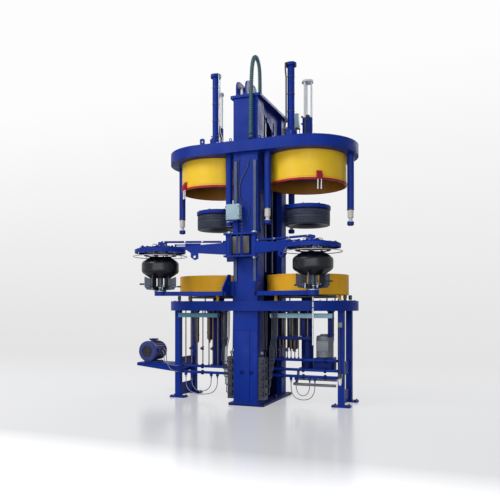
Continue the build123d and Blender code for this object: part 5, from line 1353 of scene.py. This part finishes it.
BACKDROP_RISE = 11.0
BACKDROP_TONES = ((0.0, 228), (0.4, 238), (1.0, 253))
FLOOR_FRONT, BEND_START, BEND_R = -15.0, 10.0, 4.0
WALL_TOP, HALF_WIDTH, FLOOR_DROP = 22.0, 45, 0.0006
BEND_STEPS = 12


def stage_material(name):
    """Pale ground that takes the machine's shadow, and a backdrop that pales upwards for the camera."""
    material = bpy.data.materials.new(name)
    material.use_nodes = True
    shade = Nodes(material.node_tree)
    surface = shade.tree.nodes["Principled BSDF"]
    for key, value in (("Base Color", linear(138, 139, 144)), ("Roughness", 0.2),
            ("Specular IOR Level", 0.4)):
        shade.put(surface.inputs[key], value)
    place = shade.node("SeparateXYZ", {0: shade.node("NewGeometry").outputs["Position"]}).outputs
    tones = shade.ramp(shade.level(place["Z"], 0.0, 1.0, 0.0, BACKDROP_RISE),
        [(at, linear(level, level, min(level + 1, 255))) for at, level in BACKDROP_TONES])
    rays = shade.node("LightPath").outputs
    seen = shade.sum("MAXIMUM", rays["Is Camera Ray"], rays["Is Glossy Ray"])
    near = shade.sum("MULTIPLY", seen, shade.level(place["Y"], 0.385, 0.84, -3.3, -4.4))
    lift = shade.node("Emission", {"Color": linear(255, 255, 255), "Strength": near})
    wall = shade.node("Emission", {"Color": tones, "Strength": 1.0})
    ground = shade.node("AddShader", {0: surface.outputs[0], 1: lift.outputs[0]})
    upright = shade.sum("MULTIPLY", shade.level(place["Y"], 0.0, 1.0, 0.8, 6.0), seen)
    chooser = shade.node("MixShader", {0: upright, 1: ground.outputs[0], 2: wall.outputs[0]})
    shade.put(shade.tree.nodes["Material Output"].inputs["Surface"], chooser.outputs[0])
    return material


floor_mesh = bmesh.new()
profile = [(FLOOR_FRONT, 0.0), (BEND_START, 0.0)]
for step in range(1, BEND_STEPS + 1):
    turn = pi / 2 * step / BEND_STEPS
    profile.append((BEND_START + BEND_R * sin(turn), BEND_R * (1 - cos(turn))))
profile.append((BEND_START + BEND_R, WALL_TOP))
rows = [[floor_mesh.verts.new((x, y, z - FLOOR_DROP)) for x in (-HALF_WIDTH, HALF_WIDTH)]
    for y, z in profile]
for lower, upper in zip(rows, rows[1:]):
    floor_mesh.faces.new((lower[0], lower[1], upper[1], upper[0]))
floor_data = bpy.data.meshes.new("floor")
floor_mesh.to_mesh(floor_data)
floor_mesh.free()
floor_data.polygons.foreach_set("use_smooth", [True] * len(floor_data.polygons))
floor_data.materials.append(stage_material("pale floor"))
shown("floor", floor_data)

world = bpy.data.worlds.new("studio")
bpy.context.scene.world = world
world.use_nodes = True
studio = Nodes(world.node_tree)
background = studio.tree.nodes["Background"]
studio.put(background.inputs["Color"], (0.92, 0.95, 1.0, 1))
studio.put(background.inputs["Strength"], 0.36)
seen_tone = studio.node("Background", {"Color": linear(245, 245, 246), "Strength": 1.0})
rays = studio.node("LightPath").outputs
seen = studio.sum("MAXIMUM", rays["Is Camera Ray"], rays["Is Transmission Ray"])
seen = studio.sum("MAXIMUM", seen, rays["Is Glossy Ray"])
chooser = studio.node("MixShader", {0: seen, 1: background.outputs[0], 2: seen_tone.outputs[0]})
studio.put(studio.tree.nodes["World Output"].inputs["Surface"], chooser.outputs[0])


def lamp(name, place, aim, size, watts, colour=(1, 1, 1)):
    data = bpy.data.lights.new(name, "AREA")
    data.shape = "RECTANGLE"
    data.size, data.size_y = size
    data.energy = watts
    data.color = colour
    made = shown(name, data)
    made.location = place
    made.rotation_euler = (Vector(aim) - Vector(place)).to_track_quat("-Z", "Y").to_euler()


lamp("key", (-5.5, -8.5, 8.5), (0, 0, 2.4), (5.0, 4.0), 620, (1, 0.98, 0.95))
lamp("fill", (5.0, -10.0, 4.0), (0.4, 0, 2.8), (5.0, 5.0), 300, (0.94, 0.97, 1))
lamp("back", (2.0, 8.0, 7.5), (0, 0, 2.8), (6.0, 3.0), 260)
lamp("low", (-0.5, -9.5, 2.2), (0, 0, 2.6), (6.0, 2.6), 210)

view = bpy.data.cameras.new("camera")
view.lens = 42.48
view.sensor_width = 36.0
view.shift_y = 0.114
view.clip_end = 200
camera = shown("camera", view)
camera.location = (3.328, -8.973, 1.495)
camera.rotation_euler = (radians(90), 0, radians(21.5))
bpy.context.scene.camera = camera
bpy.context.scene.view_settings.view_transform = "Standard"
